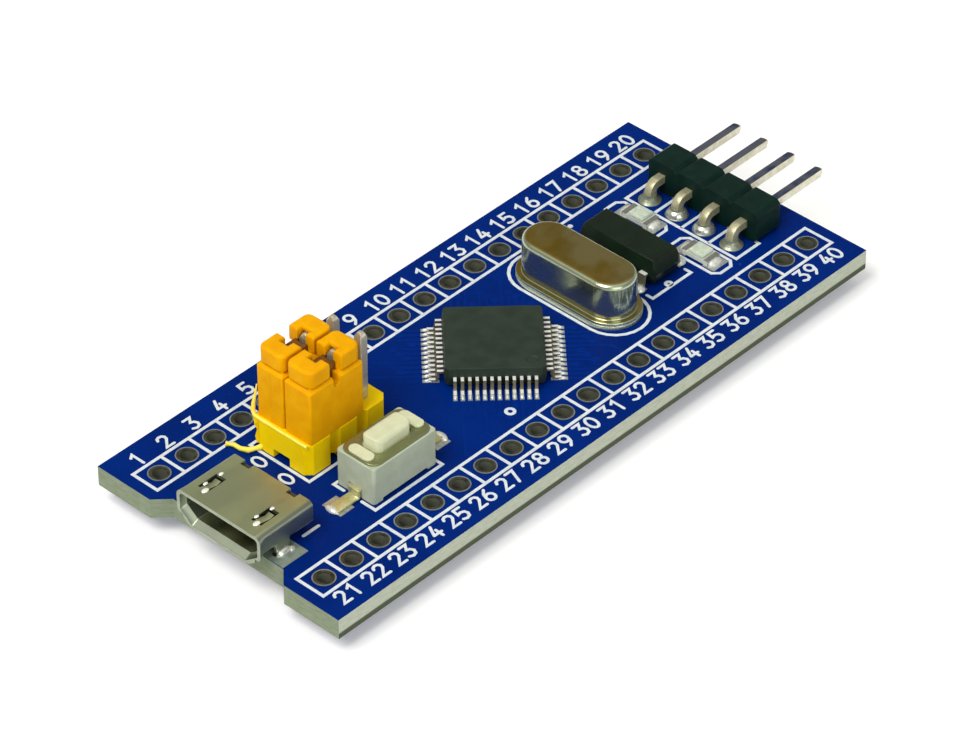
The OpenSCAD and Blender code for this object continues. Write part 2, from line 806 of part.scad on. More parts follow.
// Slotted clips on the inner ends of the leads hold the blank on edge
module crystal_clips() {
  color("silver") difference() {
    at_can_leads() translate([-can_clip[0] / 2, -can_clip[1] / 2, board_t + can_clip_z])
      cube(can_clip);
    crystal_leads();
    crystal_blank();
  }
}

module crystal_blank() {
  color("white")
    translate([can_cx - can_blank[0] / 2, can_y - can_blank[1] / 2, board_t + can_blank_z])
      cube(can_blank);
}

// Repeats a child over the four leads of the watch crystal, X outwards
module at_watch_leads() {
  for (turn = [0, 180], side = [-1, 1])
    rotate(turn) translate([0, side * watch_lead_pitch / 2, 0]) children();
}

module watch_crystal_body() {
  band_z = (watch_h - watch_lead_t) / 2;
  color("black") translate([watch_cx, watch_y, seat_z + watch_standoff])
    moulded_body(watch_w, watch_l, watch_h, watch_draft, band_z, watch_lead_t, watch_draft);
}

module watch_crystal_leads() {
  drop = watch_standoff + (watch_h - watch_lead_t) / 2;
  color("silver") translate([watch_cx, watch_y, seat_z])
    at_watch_leads() translate([watch_w / 2, 0, 0])
      gull_lead((watch_span - watch_w) / 2, drop, watch_lead_t, watch_lead_w, watch_foot);
}

module debug_header_body() {
  color("black") difference() {
    translate([debug_body_x, 0, board_t]) rotate([90, 0, 90]) linear_extrude(header_d)
      for (i = [0 : debug_ways - 1])
        translate([(i - (debug_ways - 1) / 2) * pitch, 0]) cell_outline(pitch, header_h, debug_chamfer);
    at_debug_legs() translate([0, -pin_w / 2, debug_axis_z - pin_w / 2])
      cube([debug_gap + header_d + cut, pin_w, pin_w]);
  }
}

// Side outline of a debug pin: a leg, a round bend and a level run with a tapered tip
module debug_pin_outline() {
  low = board_t - pin_tail;
  high = debug_axis_z;
  out = debug_gap + header_d + debug_out;
  half = pin_w / 2;
  polygon([[-pin_tip / 2, low], [pin_tip / 2, low], [half, low + pin_taper],
           [half, high - pin_bend_r], [-half, high - pin_bend_r], [-half, low + pin_taper]]);
  polygon([[pin_bend_r, high - half], [out - pin_taper, high - half], [out, high - pin_tip / 2],
           [out, high + pin_tip / 2], [out - pin_taper, high + half], [pin_bend_r, high + half]]);
  translate([pin_bend_r, high - pin_bend_r]) intersection() {
    difference() {
      circle(pin_bend_r + half);
      circle(pin_bend_r - half);
    }
    translate([-2 * pin_bend_r, 0]) square(2 * pin_bend_r);
  }
}

module debug_header_pins() {
  out = debug_gap + header_d + debug_out;
  half = pin_w / 2;
  color("lightgray") at_debug_legs() intersection() {
    rotate([90, 0, 0]) linear_extrude(pin_w, center = true) debug_pin_outline();
    translate([0, 0, board_t - pin_tail]) linear_extrude(pin_tail + header_h)
      polygon([[-pin_w, -half], [out - pin_taper, -half], [out, -pin_tip / 2], [out, pin_tip / 2],
               [out - pin_taper, half], [-pin_w, half]]);
  }
}

// Channels under the boot header, between its rows and columns, that leave a foot round each pin
module boot_relief() {
  l = boot_cols * pitch;
  w = boot_rows * pitch;
  translate([boot_cx, boot_y, board_t - cut]) {
    linear_extrude(relief_h + cut) for (i = [1 : boot_cols - 1])
      translate([(i - boot_cols / 2) * pitch, 0]) square([relief_w, w + 2 * cut], center = true);
    linear_extrude(relief_mid[1] + cut) for (j = [1 : boot_rows - 1])
      translate([0, (j - boot_rows / 2) * pitch]) square([l + 2 * cut, relief_mid[0]], center = true);
  }
}

module boot_header_body() {
  color("gold") difference() {
    translate([0, 0, board_t]) linear_extrude(header_h) difference() {
      for (i = [0 : boot_cols - 1])
        translate([boot_cx + (i - (boot_cols - 1) / 2) * pitch, boot_y - boot_rows * pitch / 2])
          cell_outline(pitch, boot_rows * pitch, boot_chamfer);
      at_boot_pins() square(pin_w, center = true);
    }
    boot_relief();
  }
}

module boot_header_pins() {
  color("lightgray") at_boot_pins() translate([0, 0, board_t - pin_tail])
    square_pin(pin_tail + header_h + boot_pin_up);
}

// Side view of a cap's lower block and neck, half length at the base given
module cap_side(l, rim) {
  neck = rim / 2 - cap_neck_in;
  polygon([[-l / 2, 0], [l / 2, 0], [l / 2, cap_shoulder_z - cap_chamfer],
           [l / 2 - cap_chamfer, cap_shoulder_z], [neck, cap_shoulder_z],
           [neck, cap_shoulder_z + cap_neck_h + cut], [-neck, cap_shoulder_z + cap_neck_h + cut],
           [-neck, cap_shoulder_z], [-l / 2 + cap_chamfer, cap_shoulder_z],
           [-l / 2, cap_shoulder_z - cap_chamfer]]);
}

// Side view of the notch across a cap's top, with the slit round at its floor
module cap_notch_outline() {
  middle = cap_notch_floor + cap_slit / 2;
  translate([0, middle]) circle(d = cap_slit);
  translate([-cap_slit / 2, middle]) square([cap_slit, cap_h]);
  translate([-cap_notch / 2, cap_shoulder_z]) square([cap_notch, cap_h]);
}

// Jumper cap on z = 0: a block, a neck and a rim, with room for the pins, and a notch and a window
// in the top
module jumper_cap() {
  rim_z = cap_shoulder_z + cap_neck_h;
  difference() {
    union() {
      intersection() {
        rotate([90, 0, 0]) linear_extrude(cap_w, center = true) cap_side(cap_l, cap_rim_l);
        rotate([90, 0, 90]) linear_extrude(cap_l, center = true) cap_side(cap_w, cap_rim_w);
        linear_extrude(cap_h) rounded_square(cap_l, cap_w, cap_edge_r);
      }
      translate([0, 0, rim_z]) linear_extrude(cap_h - rim_z)
        rounded_square(cap_rim_l, cap_rim_w, cap_rim_r);
    }
    translate([-cavity_l / 2, -cavity_w / 2, -cut])
      cube([cavity_l, cavity_w, clip_z + clip_h + cut]);
    translate([-slot_l / 2, -slot_w / 2, 0]) cube([slot_l, slot_w, slot_h]);
    translate([-cap_window_l / 2, -slot_w / 2, 0]) cube([cap_window_l, slot_w, cap_h + cut]);
    rotate([90, 0, 0]) linear_extrude(2 * cap_w, center = true) cap_notch_outline();
  }
}

// Contact clip inside a cap: two leaves along the pins and a bridge between them at the top
module jumper_clip() {
  translate([0, 0, clip_z]) linear_extrude(clip_h)
    for (side = [-1, 1]) translate([0, side * (clip_in + clip_t / 2)])
      square([clip_l, clip_t], center = true);
  translate([-clip_bridge_l / 2, -clip_in - clip_t / 2, clip_z + clip_h - clip_t])
    cube([clip_bridge_l, 2 * clip_in + clip_t, clip_t]);
}

// Places a clip over the first two columns of one row of boot pins, or a cap with its play given
module on_boot_row(row, play = 0) {
  translate([cap_x + play, boot_y + (row - 1 / 2) * pitch, header_top + cap_lift]) children();
}

module boot0_jumper_cap() {
  color("orange") on_boot_row(1, cap_play) jumper_cap();
}

module boot0_jumper_clip() {
  color("silver") on_boot_row(1) jumper_clip();
}

module boot1_jumper_cap() {
  color("orange") on_boot_row(0, cap_play) jumper_cap();
}

module boot1_jumper_clip() {
  color("silver") on_boot_row(0) jumper_clip();
}

// Moves a child to the reset switch
module at_reset(z) {
  translate([reset_cx, reset_y, board_t + z]) children();
}

// Repeats a child over the two rivets of the switch
module at_rivets() {
  for (side = [-1, 1]) translate([side * (reset_l / 2 - rivet_in), 0, 0]) children();
}

// One terminal, X outwards, its foot on the land
module reset_terminal() {
  drop = well_floor - reset_term_t - pad_t;
  inner = reset_l / 2 - reset_term_in;
  translate([inner, 0, pad_t]) {
    translate([0, -reset_term_w / 2, drop]) cube([reset_term_in, reset_term_w, reset_term_t]);
    translate([reset_term_in, 0, 0])
      gull_lead((reset_span - reset_l) / 2, drop, reset_term_t, reset_term_w, reset_foot);
  }
}

module reset_terminals() {
  color("silver") at_reset(0) for (turn = [0, 180]) rotate(turn) reset_terminal();
}

module reset_housing() {
  color("darkgray") at_reset(0) difference() {
    linear_extrude(reset_h) rounded_square(reset_l, reset_w, reset_edge_r);
    at_rivets() translate([0, 0, reset_h - rivet_depth]) linear_extrude(reset_h)
      oval(rivet[0], rivet[1]);
    translate([-reset_l / 2 + well_wall_x, -reset_w / 2 + well_wall_y, well_floor])
      cube([reset_l - 2 * well_wall_x, reset_w - 2 * well_wall_y, reset_h]);
    for (turn = [0, 180]) rotate(turn) reset_terminal();
    for (side = [-1, 1])
      translate([-housing_slit[0] / 2, side * reset_w / 2 - housing_slit[1], -cut])
        cube([housing_slit[0], 2 * housing_slit[1], housing_slit[2] + cut]);
  }
}

// Posts that hold the cover, with their heads spread over it
module reset_rivets() {
  color("ivory") at_reset(reset_h) at_rivets() {
    translate([0, 0, -rivet_depth]) linear_extrude(rivet_depth + cover_t) oval(rivet[0], rivet[1]);
    translate([0, 0, cover_t]) linear_extrude(rivet_head_h) oval(rivet_head[0], rivet_head[1]);
  }
}

module reset_cover() {
  color("dimgray") at_reset(reset_h) linear_extrude(cover_t) difference() {
    rounded_square(reset_l - 2 * cover_inset, reset_w - 2 * cover_inset, cover_r);
    rounded_square(plunger_l + 2 * plunger_clear, plunger_w + 2 * plunger_clear,
                   plunger_r + plunger_clear);
    at_rivets() oval(rivet[0], rivet[1]);
  }
}

// End view of the button's stem with its rounded crown, from the flange upwards
module crown_section(h) {
  square([plunger_w, 2 * (h - plunger_crown)], center = true);
  translate([0, h / 2]) square([plunger_w - 2 * plunger_crown, h], center = true);
  for (side = [-1, 1]) translate([side * (plunger_w / 2 - plunger_crown), h - plunger_crown])
    circle(plunger_crown);
}

module reset_plunger() {
  stem_z = reset_h - flange_lift;
  stem_h = plunger_up + cover_t + flange_lift;
  boss_z = well_floor + dome_h + dome_gap;
  color("ivory") at_reset(0) {
    translate([0, 0, stem_z]) intersection() {
      linear_extrude(stem_h) rounded_square(plunger_l, plunger_w, plunger_r);
      rotate([90, 0, 90]) linear_extrude(plunger_l, center = true) crown_section(stem_h);
    }
    translate([0, 0, stem_z - flange_h]) linear_extrude(flange_h)
      rounded_square(plunger_l + 2 * flange_lip, plunger_w + 2 * flange_lip, plunger_r);
    translate([0, 0, boss_z]) cylinder(d = plunger_boss_d, h = stem_z - flange_h - boss_z + cut);
  }
}

// Domed contact disc: a shell between two spheres
module reset_dome() {
  r = (dome_d * dome_d / 4 + dome_h * dome_h) / (2 * dome_h);
  color("silver") at_reset(well_floor + dome_h - r) rotate_extrude() intersection() {
    difference() {
      circle(r);
      circle(r - dome_t);
    }
    translate([0, r - dome_h]) square([r, dome_h]);
  }
}

// Carrier plate of a chip light, long axis along Y
module led_base(spot) {
  translate([spot[0] - led_w / 2, spot[1] - led_l / 2 + led_end_t, seat_z])
    cube([led_w, led_l - 2 * led_end_t, led_base_h]);
}

// Clear moulding on the carrier plate
module led_lens(spot) {
  h = led_h - led_base_h;
  l = led_l - 2 * (led_end + led_lens_in);
  translate([spot[0], spot[1], seat_z + led_base_h])
    moulded_body(led_w, l, h, led_lens_draft, h / 4, h / 4, led_lens_draft);
}

// Metal ends that wrap the carrier plate
module led_terminals(spot) {
  for (side = [-1, 1]) translate([spot[0], spot[1], seat_z]) difference() {
    translate([-led_w / 2, side * (led_l - led_end) / 2 - led_end / 2, 0])
      cube([led_w, led_end, led_base_h + led_end_t]);
    translate([-led_w, -led_l / 2 + led_end_t, -cut])
      cube([2 * led_w, led_l - 2 * led_end_t, led_base_h + cut]);
  }
}

module power_led_base() {
  color("white") led_base(power_led_at);
}

module power_led_lens() {
  color("mintcream") led_lens(power_led_at);
}

module power_led_terminals() {
  color("silver") led_terminals(power_led_at);
}

module user_led_base() {
  color("white") led_base(user_led_at);
}

module user_led_lens() {
  color("mintcream") led_lens(user_led_at);
}

module user_led_terminals() {
  color("silver") led_terminals(user_led_at);
}

// Repeats a child over the regulator's five leads, X outwards
module at_reg_leads() {
  for (i = [-1 : 1]) rotate(90) translate([0, i * reg_pitch, 0]) children();
  for (i = [-1, 1]) rotate(-90) translate([0, i * reg_pitch, 0]) children();
}

module regulator_body() {
  band_z = (reg_h - reg_lead_t) / 2;
  color("black") on_underside(concat(reg_at, 0), pad_t) translate([0, 0, reg_standoff])
    moulded_body(reg_l, reg_w, reg_h, mould_draft, band_z, reg_lead_t, mould_draft);
}

module regulator_leads() {
  drop = reg_standoff + (reg_h - reg_lead_t) / 2;
  color("silver") on_underside(concat(reg_at, 0), pad_t) at_reg_leads()
    translate([reg_w / 2, 0, 0])
      gull_lead((reg_span - reg_w) / 2, drop, reg_lead_t, reg_lead_w, reg_foot);
}

// Core of a chip part, long axis along X, between its metal ends
module chip_core(h) {
  translate([-chip_l / 2 + chip_end_t, -chip_w / 2 + chip_end_t, chip_end_t])
    cube([chip_l - 2 * chip_end_t, chip_w - 2 * chip_end_t, h - 2 * chip_end_t]);
}

// Metal ends of a chip part: cups that wrap the core
module chip_ends(h) {
  for (side = [-1, 1]) difference() {
    translate([side * (chip_l - chip_end) / 2 - chip_end / 2, -chip_w / 2, 0])
      cube([chip_end, chip_w, h]);
    chip_core(h);
  }
}

module capacitor_bodies() {
  color("tan") for (spot = capacitor_spots) on_underside(spot, pad_t) chip_core(capacitor_h);
}

module capacitor_ends() {
  color("silver") for (spot = capacitor_spots) on_underside(spot, pad_t) chip_ends(capacitor_h);
}

module resistor_bodies() {
  color("black") for (spot = resistor_spots) on_underside(spot, pad_t) chip_core(resistor_h);
}

module resistor_ends() {
  color("silver") for (spot = resistor_spots) on_underside(spot, pad_t) chip_ends(resistor_h);
}

// Solder round the pins that pass through the board
module solder_joints() {
  color("silver") {
    translate([0, 0, -pad_t]) mirror([0, 0, 1]) {
      at_boot_pins() solder_fillet(pin_pad_d, pin_w, solder_h, false);
      at_debug_legs() solder_fillet(pin_pad_d, pin_w, solder_h, false);
      at_can_leads() solder_fillet(pin_pad_d, can_lead_d, solder_h, true);
    }
    translate([0, 0, seat_z]) at_debug_legs() solder_fillet(pin_pad_d, pin_w, leg_solder_h, false);
  }
}

board();
header_pads();
through_pads();
chip_pads();
usb_shell();
usb_insulator();
usb_contacts();
controller_body();
controller_leads();
crystal_can();
crystal_base();
crystal_seals();
crystal_leads();
crystal_clips();
crystal_blank();
watch_crystal_body();
watch_crystal_leads();
debug_header_body();
debug_header_pins();
boot_header_body();
boot_header_pins();
boot0_jumper_cap();
boot0_jumper_clip();
boot1_jumper_cap();
boot1_jumper_clip();
reset_housing();
reset_rivets();
reset_cover();
reset_plunger();
reset_dome();
reset_terminals();
power_led_base();
power_led_lens();
power_led_terminals();
user_led_base();
user_led_lens();
user_led_terminals();
regulator_body();
regulator_leads();
capacitor_bodies();
capacitor_ends();
resistor_bodies();
resistor_ends();
solder_joints();
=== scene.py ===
"""Looks of a microcontroller development board, built around its CAD frame.

Every piece is drawn in millimetres, in the frame of the CAD part, and scaled to metres as it is
finished. The origin is the centre of the two header rows, on the underside of the board.
"""

import logging
import math
from collections.abc import Iterable, Sequence
from dataclasses import dataclass, field
from enum import Enum
from functools import cache
from typing import ClassVar

import bmesh
import bpy
from bmesh.types import BMEdge, BMFace, BMVert
from bpy.types import Material, Node, NodeSocket, NodeTree, Object
from mathutils import Matrix, Vector


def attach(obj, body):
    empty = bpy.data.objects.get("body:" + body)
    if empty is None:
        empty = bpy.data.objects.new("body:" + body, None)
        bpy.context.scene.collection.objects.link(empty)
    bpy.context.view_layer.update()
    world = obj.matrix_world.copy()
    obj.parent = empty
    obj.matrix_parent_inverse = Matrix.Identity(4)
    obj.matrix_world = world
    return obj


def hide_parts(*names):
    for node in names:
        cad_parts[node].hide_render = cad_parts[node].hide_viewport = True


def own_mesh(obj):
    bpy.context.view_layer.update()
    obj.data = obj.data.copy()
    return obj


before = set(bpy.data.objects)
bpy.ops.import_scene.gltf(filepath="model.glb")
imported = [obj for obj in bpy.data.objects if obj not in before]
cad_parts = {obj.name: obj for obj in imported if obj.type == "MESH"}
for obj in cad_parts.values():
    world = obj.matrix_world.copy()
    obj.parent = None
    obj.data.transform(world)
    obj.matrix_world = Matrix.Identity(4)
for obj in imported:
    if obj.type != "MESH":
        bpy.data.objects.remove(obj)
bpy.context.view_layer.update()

LOG = logging.getLogger("board")
MM = 0.001
TOP = 1.6  # height of the component side
SEAT = 1.65  # height of the lands on it

Screen = tuple[int, int, int]
Point = tuple[float, float]
Triple = tuple[float, float, float]
Bead = tuple[float, float, float, float]
Outputs = bpy.types.bpy_prop_collection


class Body(str, Enum):
    """Bodies of the part, as the frame names them."""

    BOARD = "board"
    RESET = "reset_button"
    BOOT0 = "boot0_jumper"
    BOOT1 = "boot1_jumper"


class Grain(Enum):
    """How the grain of a surface runs, as its stretch along each axis."""

    ROLLED = (0.06, 1.0, 1.0)
    EVEN = (1.0, 1.0, 1.0)


def linear(screen: Screen) -> Triple:
    """Turns a screen colour, in levels up to 255, into the linear one that shaders take."""
    levels = (level / 255 for level in screen)
    return tuple(c / 12.92 if c <= 0.04045 else ((c + 0.055) / 1.055) ** 2.4 for c in levels)


def scale_of(size_mm: float) -> float:
    """Returns the texture scale that gives a pattern that size."""
    return 1 / (size_mm * MM)


class Graph:
    """A shader node tree that is being wired."""

    def __init__(self, tree: NodeTree) -> None:
        """Takes over an empty tree."""
        self.tree = tree

    def node(self, kind: str, **settings: object) -> Node:
        """Adds a node.

        Args:
            kind: its kind, as Blender names it.
            settings: its properties, by name.

        Returns:
            The node.
        """
        made = self.tree.nodes.new(kind)
        for name, value in settings.items():
            setattr(made, name, value)
        return made

    def feed(self, socket: NodeSocket, source: object) -> None:
        """Links a socket to another one, or sets its plain value.

        Args:
            socket: the input that is fed.
            source: the output that feeds it, or a value.
        """
        if isinstance(source, NodeSocket):
            self.tree.links.new(source, socket)
        else:
            socket.default_value = source

    def fill(self, node: Node, sources: dict) -> Outputs:
        """Feeds inputs of a node.

        Args:
            node: the node.
            sources: what feeds each input, by its name or number.

        Returns:
            The node's outputs.
        """
        for key, source in sources.items():
            self.feed(node.inputs[key], source)
        return node.outputs

    def math(self, operation: str, *terms: object) -> NodeSocket:
        """Adds one sum of sockets or numbers, and returns its result."""
        return self.fill(self.node("ShaderNodeMath", operation=operation), dict(enumerate(terms)))[0]

    def stretched(self, vector: object, stretch: Triple) -> NodeSocket:
        """Scales a coordinate along each axis."""
        made = self.node("ShaderNodeVectorMath", operation="MULTIPLY")
        return self.fill(made, {0: vector, 1: stretch})[0]

    def axes(self, vector: object) -> Outputs:
        """Returns the three numbers of a vector."""
        return self.fill(self.node("ShaderNodeSeparateXYZ"), {0: vector})

    def facing(self) -> Outputs:
        """Returns the three numbers of the direction in which a face looks."""
        return self.axes(self.node("ShaderNodeNewGeometry").outputs["Normal"])

    def noise(self, vector: object, scale: object, detail: float = 2.0) -> NodeSocket:
        """Adds a noise of that scale, from 0 to 1."""
        sources = {"Vector": vector, "Scale": scale, "Detail": detail}
        return self.fill(self.node("ShaderNodeTexNoise"), sources)["Fac"]

    def ranged(self, value: object, old: Point, new: Point = (0.0, 1.0)) -> NodeSocket:
        """Maps a value from one range to another, clamped and eased."""
        made = self.node("ShaderNodeMapRange", interpolation_type="SMOOTHSTEP")
        return self.fill(made, dict(enumerate((value, *old, *new))))["Result"]

    def mix(self, share: object, low: object, high: object) -> NodeSocket:
        """Mixes two colours by a share, each a socket or a screen colour."""
        low, high = ((*linear(c), 1.0) if isinstance(c, tuple) else c for c in (low, high))
        return self.fill(self.node("ShaderNodeMix", data_type="RGBA"), {0: share, 6: low, 7: high})[2]

    def bump(self, height: object, strength: float, distance_mm: float) -> NodeSocket:
        """Turns a height into a normal."""
        sources = {"Strength": strength, "Distance": distance_mm * MM, "Height": height}
        return self.fill(self.node("ShaderNodeBump"), sources)["Normal"]

    def group(self, tree: NodeTree, **sources: object) -> Outputs:
        """Places a shared node group, and returns its outputs."""
        return self.fill(self.node("ShaderNodeGroup", node_tree=tree), sources)

    def grain(self, vector: object, fine_mm: float, broad_mm: float) -> Outputs:
        """Places the shared grain, with its sizes."""
        return self.group(grain_group(), Vector=vector, Fine=scale_of(fine_mm), Broad=scale_of(broad_mm))

    def specks(self, vector: object, spacing_mm: float, size: float) -> Outputs:
        """Places the shared specks, with their spacing and their size as a share of it."""
        return self.group(specks_group(), Vector=vector, Scale=scale_of(spacing_mm), Size=size)


def new_group(name: str, inputs: Sequence[str], outputs: Sequence[str]) -> tuple[Graph, dict]:
    """Starts a node group whose first input is a coordinate and whose other sockets are numbers.

    Args:
        name: name of the group.
        inputs, outputs: names of its number inputs and of its outputs.

    Returns:
        The graph, and its sockets by name.
    """
    tree = bpy.data.node_groups.new(name, "ShaderNodeTree")
    tree.interface.new_socket("Vector", in_out="INPUT", socket_type="NodeSocketVector")
    for way, labels in (("INPUT", inputs), ("OUTPUT", outputs)):
        for label in labels:
            tree.interface.new_socket(label, in_out=way, socket_type="NodeSocketFloat")
    graph = Graph(tree)
    ends = (*graph.node("NodeGroupInput").outputs, *graph.node("NodeGroupOutput").inputs)
    return graph, {socket.name: socket for socket in ends}


@cache
def grain_group() -> NodeTree:
    """Makes fine grain over broad blotches, as on mouldings and dull metal.

    Returns:
        The node group, which every call shares.
    """
    graph, ends = new_group("surface_grain", ("Fine", "Broad"), ("Height", "Tone"))
    fine = graph.noise(ends["Vector"], ends["Fine"], 4.0)
    broad = graph.noise(ends["Vector"], ends["Broad"], 3.0)
    both = graph.math("MULTIPLY_ADD", fine, 0.35, graph.math("MULTIPLY", broad, 0.65))
    graph.feed(ends["Height"], fine)
    graph.feed(ends["Tone"], graph.ranged(both, (0.36, 0.64)))
    return graph.tree


@cache
def specks_group() -> NodeTree:
    """Makes scattered specks of dust or of cast-in dirt.

    Returns:
        The node group, which every call shares.
    """
    graph, ends = new_group("dust_specks", ("Scale", "Size"), ("Mask",))
    cells = graph.fill(graph.node("ShaderNodeTexVoronoi"), {key: ends[key] for key in ("Vector", "Scale")})
    patch = graph.noise(ends["Vector"], graph.math("MULTIPLY", ends["Scale"], 0.21))
    limit = graph.math("MULTIPLY", ends["Size"], graph.ranged(patch, (0.52, 0.68)))
    graph.feed(ends["Mask"], graph.math("LESS_THAN", cells["Distance"], limit))
    return graph.tree


def new_material(name: str) -> tuple[Material, Graph, Node, NodeSocket]:
    """Starts a material with one Principled shader.

    Args:
        name: name of the material.

    Returns:
        The material, its graph, its shader, and its Object coordinates.
    """
    made = bpy.data.materials.new(name)
    made.use_nodes = True
    made.node_tree.nodes.clear()
    graph = Graph(made.node_tree)
    shader = graph.node("ShaderNodeBsdfPrincipled")
    graph.fill(graph.node("ShaderNodeOutputMaterial"), {"Surface": shader.outputs["BSDF"]})
    return made, graph, shader, graph.node("ShaderNodeTexCoord").outputs["Object"]


@dataclass(frozen=True)
class Finish:
    """What a piece wears: a material, wired when it is first worn.

    Attributes:
        name: name of the material.
        slot: the record's slot, or an empty string; not used.
        made: every material so far, by name.
    """

    name: str
    slot: str
    made: ClassVar[dict[str, Material]] = {}

    def material(self) -> Material:
        """Wires the material when it is first asked for.

        Returns:
            The material.
        """
        if self.name not in self.made:
            self.made[self.name], *ends = new_material(self.name)
            self.wire(*ends)
        return self.made[self.name]

    def wire(self, graph: Graph, shader: Node, place: NodeSocket) -> None:
        """Wires the material.

        Args:
            graph: its graph.
            shader: its shader.
            place: its Object coordinates.
        """
        raise NotImplementedError


@dataclass(frozen=True)
class Surface(Finish):
    """A moulded, plated or printed finish with grain, blotches and specks.

    Attributes:
        colour, shade: main colour, and colour of its blotches.
        roughness, spread: middle roughness, and how far it wanders.
        metallic: 1 on metal.
        grain_mm, broad_mm: sizes of the fine grain and of the blotches.
        depth_mm: depth of the grain.
        grain: how the grain runs.
        specks: size of dust specks as a share of their spacing.
        speck_colour: colour of those specks.
        specular: level of plain reflections.
        glow: subsurface weight of milky resin.
        stain: colour on upward faces, if any: painted light on leads, pins and socket; a real mark on the
            can.
        bare: share of that colour left where it is thin.
        film_tilt: how far upwards a face looks where that colour sets in, and where it is whole.
        film_patches: levels of a noise between which that colour thins.
        relief: strength of the grain's relief.
        milk_mm, milk_tint: how deep light goes into milky resin, and how much of each colour.
    """

    colour: Screen
    shade: Screen
    roughness: float = 0.5
    spread: float = 0.08
    metallic: float = 0.0
    grain_mm: float = 0.06
    broad_mm: float = 1.2
    depth_mm: float = 0.004
    grain: Grain = Grain.EVEN
    specks: float = 0.0
    speck_colour: Screen = (92, 102, 88)
    specular: float = 0.5
    glow: float = 0.0
    stain: Screen | None = None
    bare: float = 0.6
    film_tilt: ClassVar[Point] = (0.86, 0.97)
    film_patches: ClassVar[Point] = (0.35, 0.6)
    relief: ClassVar[float] = 0.5
    milk_mm: ClassVar[float] = 0.7
    milk_tint: ClassVar[Triple] = (1.0, 0.75, 0.4)

    def wire(self, graph: Graph, shader: Node, place: NodeSocket) -> None:
        """Wires grain, the upward-face colour (painted light on most finishes) and specks into the shader.

        Args:
            graph: the material's graph.
            shader: its shader.
            place: its Object coordinates.
        """
        along = graph.stretched(place, self.grain.value)
        grain = graph.grain(along, self.grain_mm, self.broad_mm)
        colour = graph.mix(grain["Tone"], self.colour, self.shade)
        # painted light on most finishes: highlight on leads, reflection on pin tops, sheen on the socket's
        # top; a real mark on the can
        if self.stain:
            upward = graph.ranged(graph.facing()[2], self.film_tilt)
            patches = graph.noise(place, scale_of(self.broad_mm) / 2, 3.0)
            thinned = graph.ranged(patches, self.film_patches, (1.0, self.bare))
            colour = graph.mix(graph.math("MULTIPLY", upward, thinned), colour, self.stain)
        if self.specks:
            dust = graph.specks(place, self.broad_mm, self.specks)
            colour = graph.mix(dust["Mask"], colour, self.speck_colour)
        levels = (self.roughness - self.spread, self.roughness + self.spread)
        graph.fill(shader, {
            "Base Color": colour,
            "Roughness": graph.ranged(grain["Tone"], (0.0, 1.0), levels),
            "Normal": graph.bump(grain["Height"], self.relief, self.depth_mm),
            "Metallic": self.metallic,
            "Specular IOR Level": self.specular,
            "Subsurface Weight": self.glow,
            "Subsurface Scale": self.milk_mm * MM,
            "Subsurface Radius": self.milk_tint,
        })


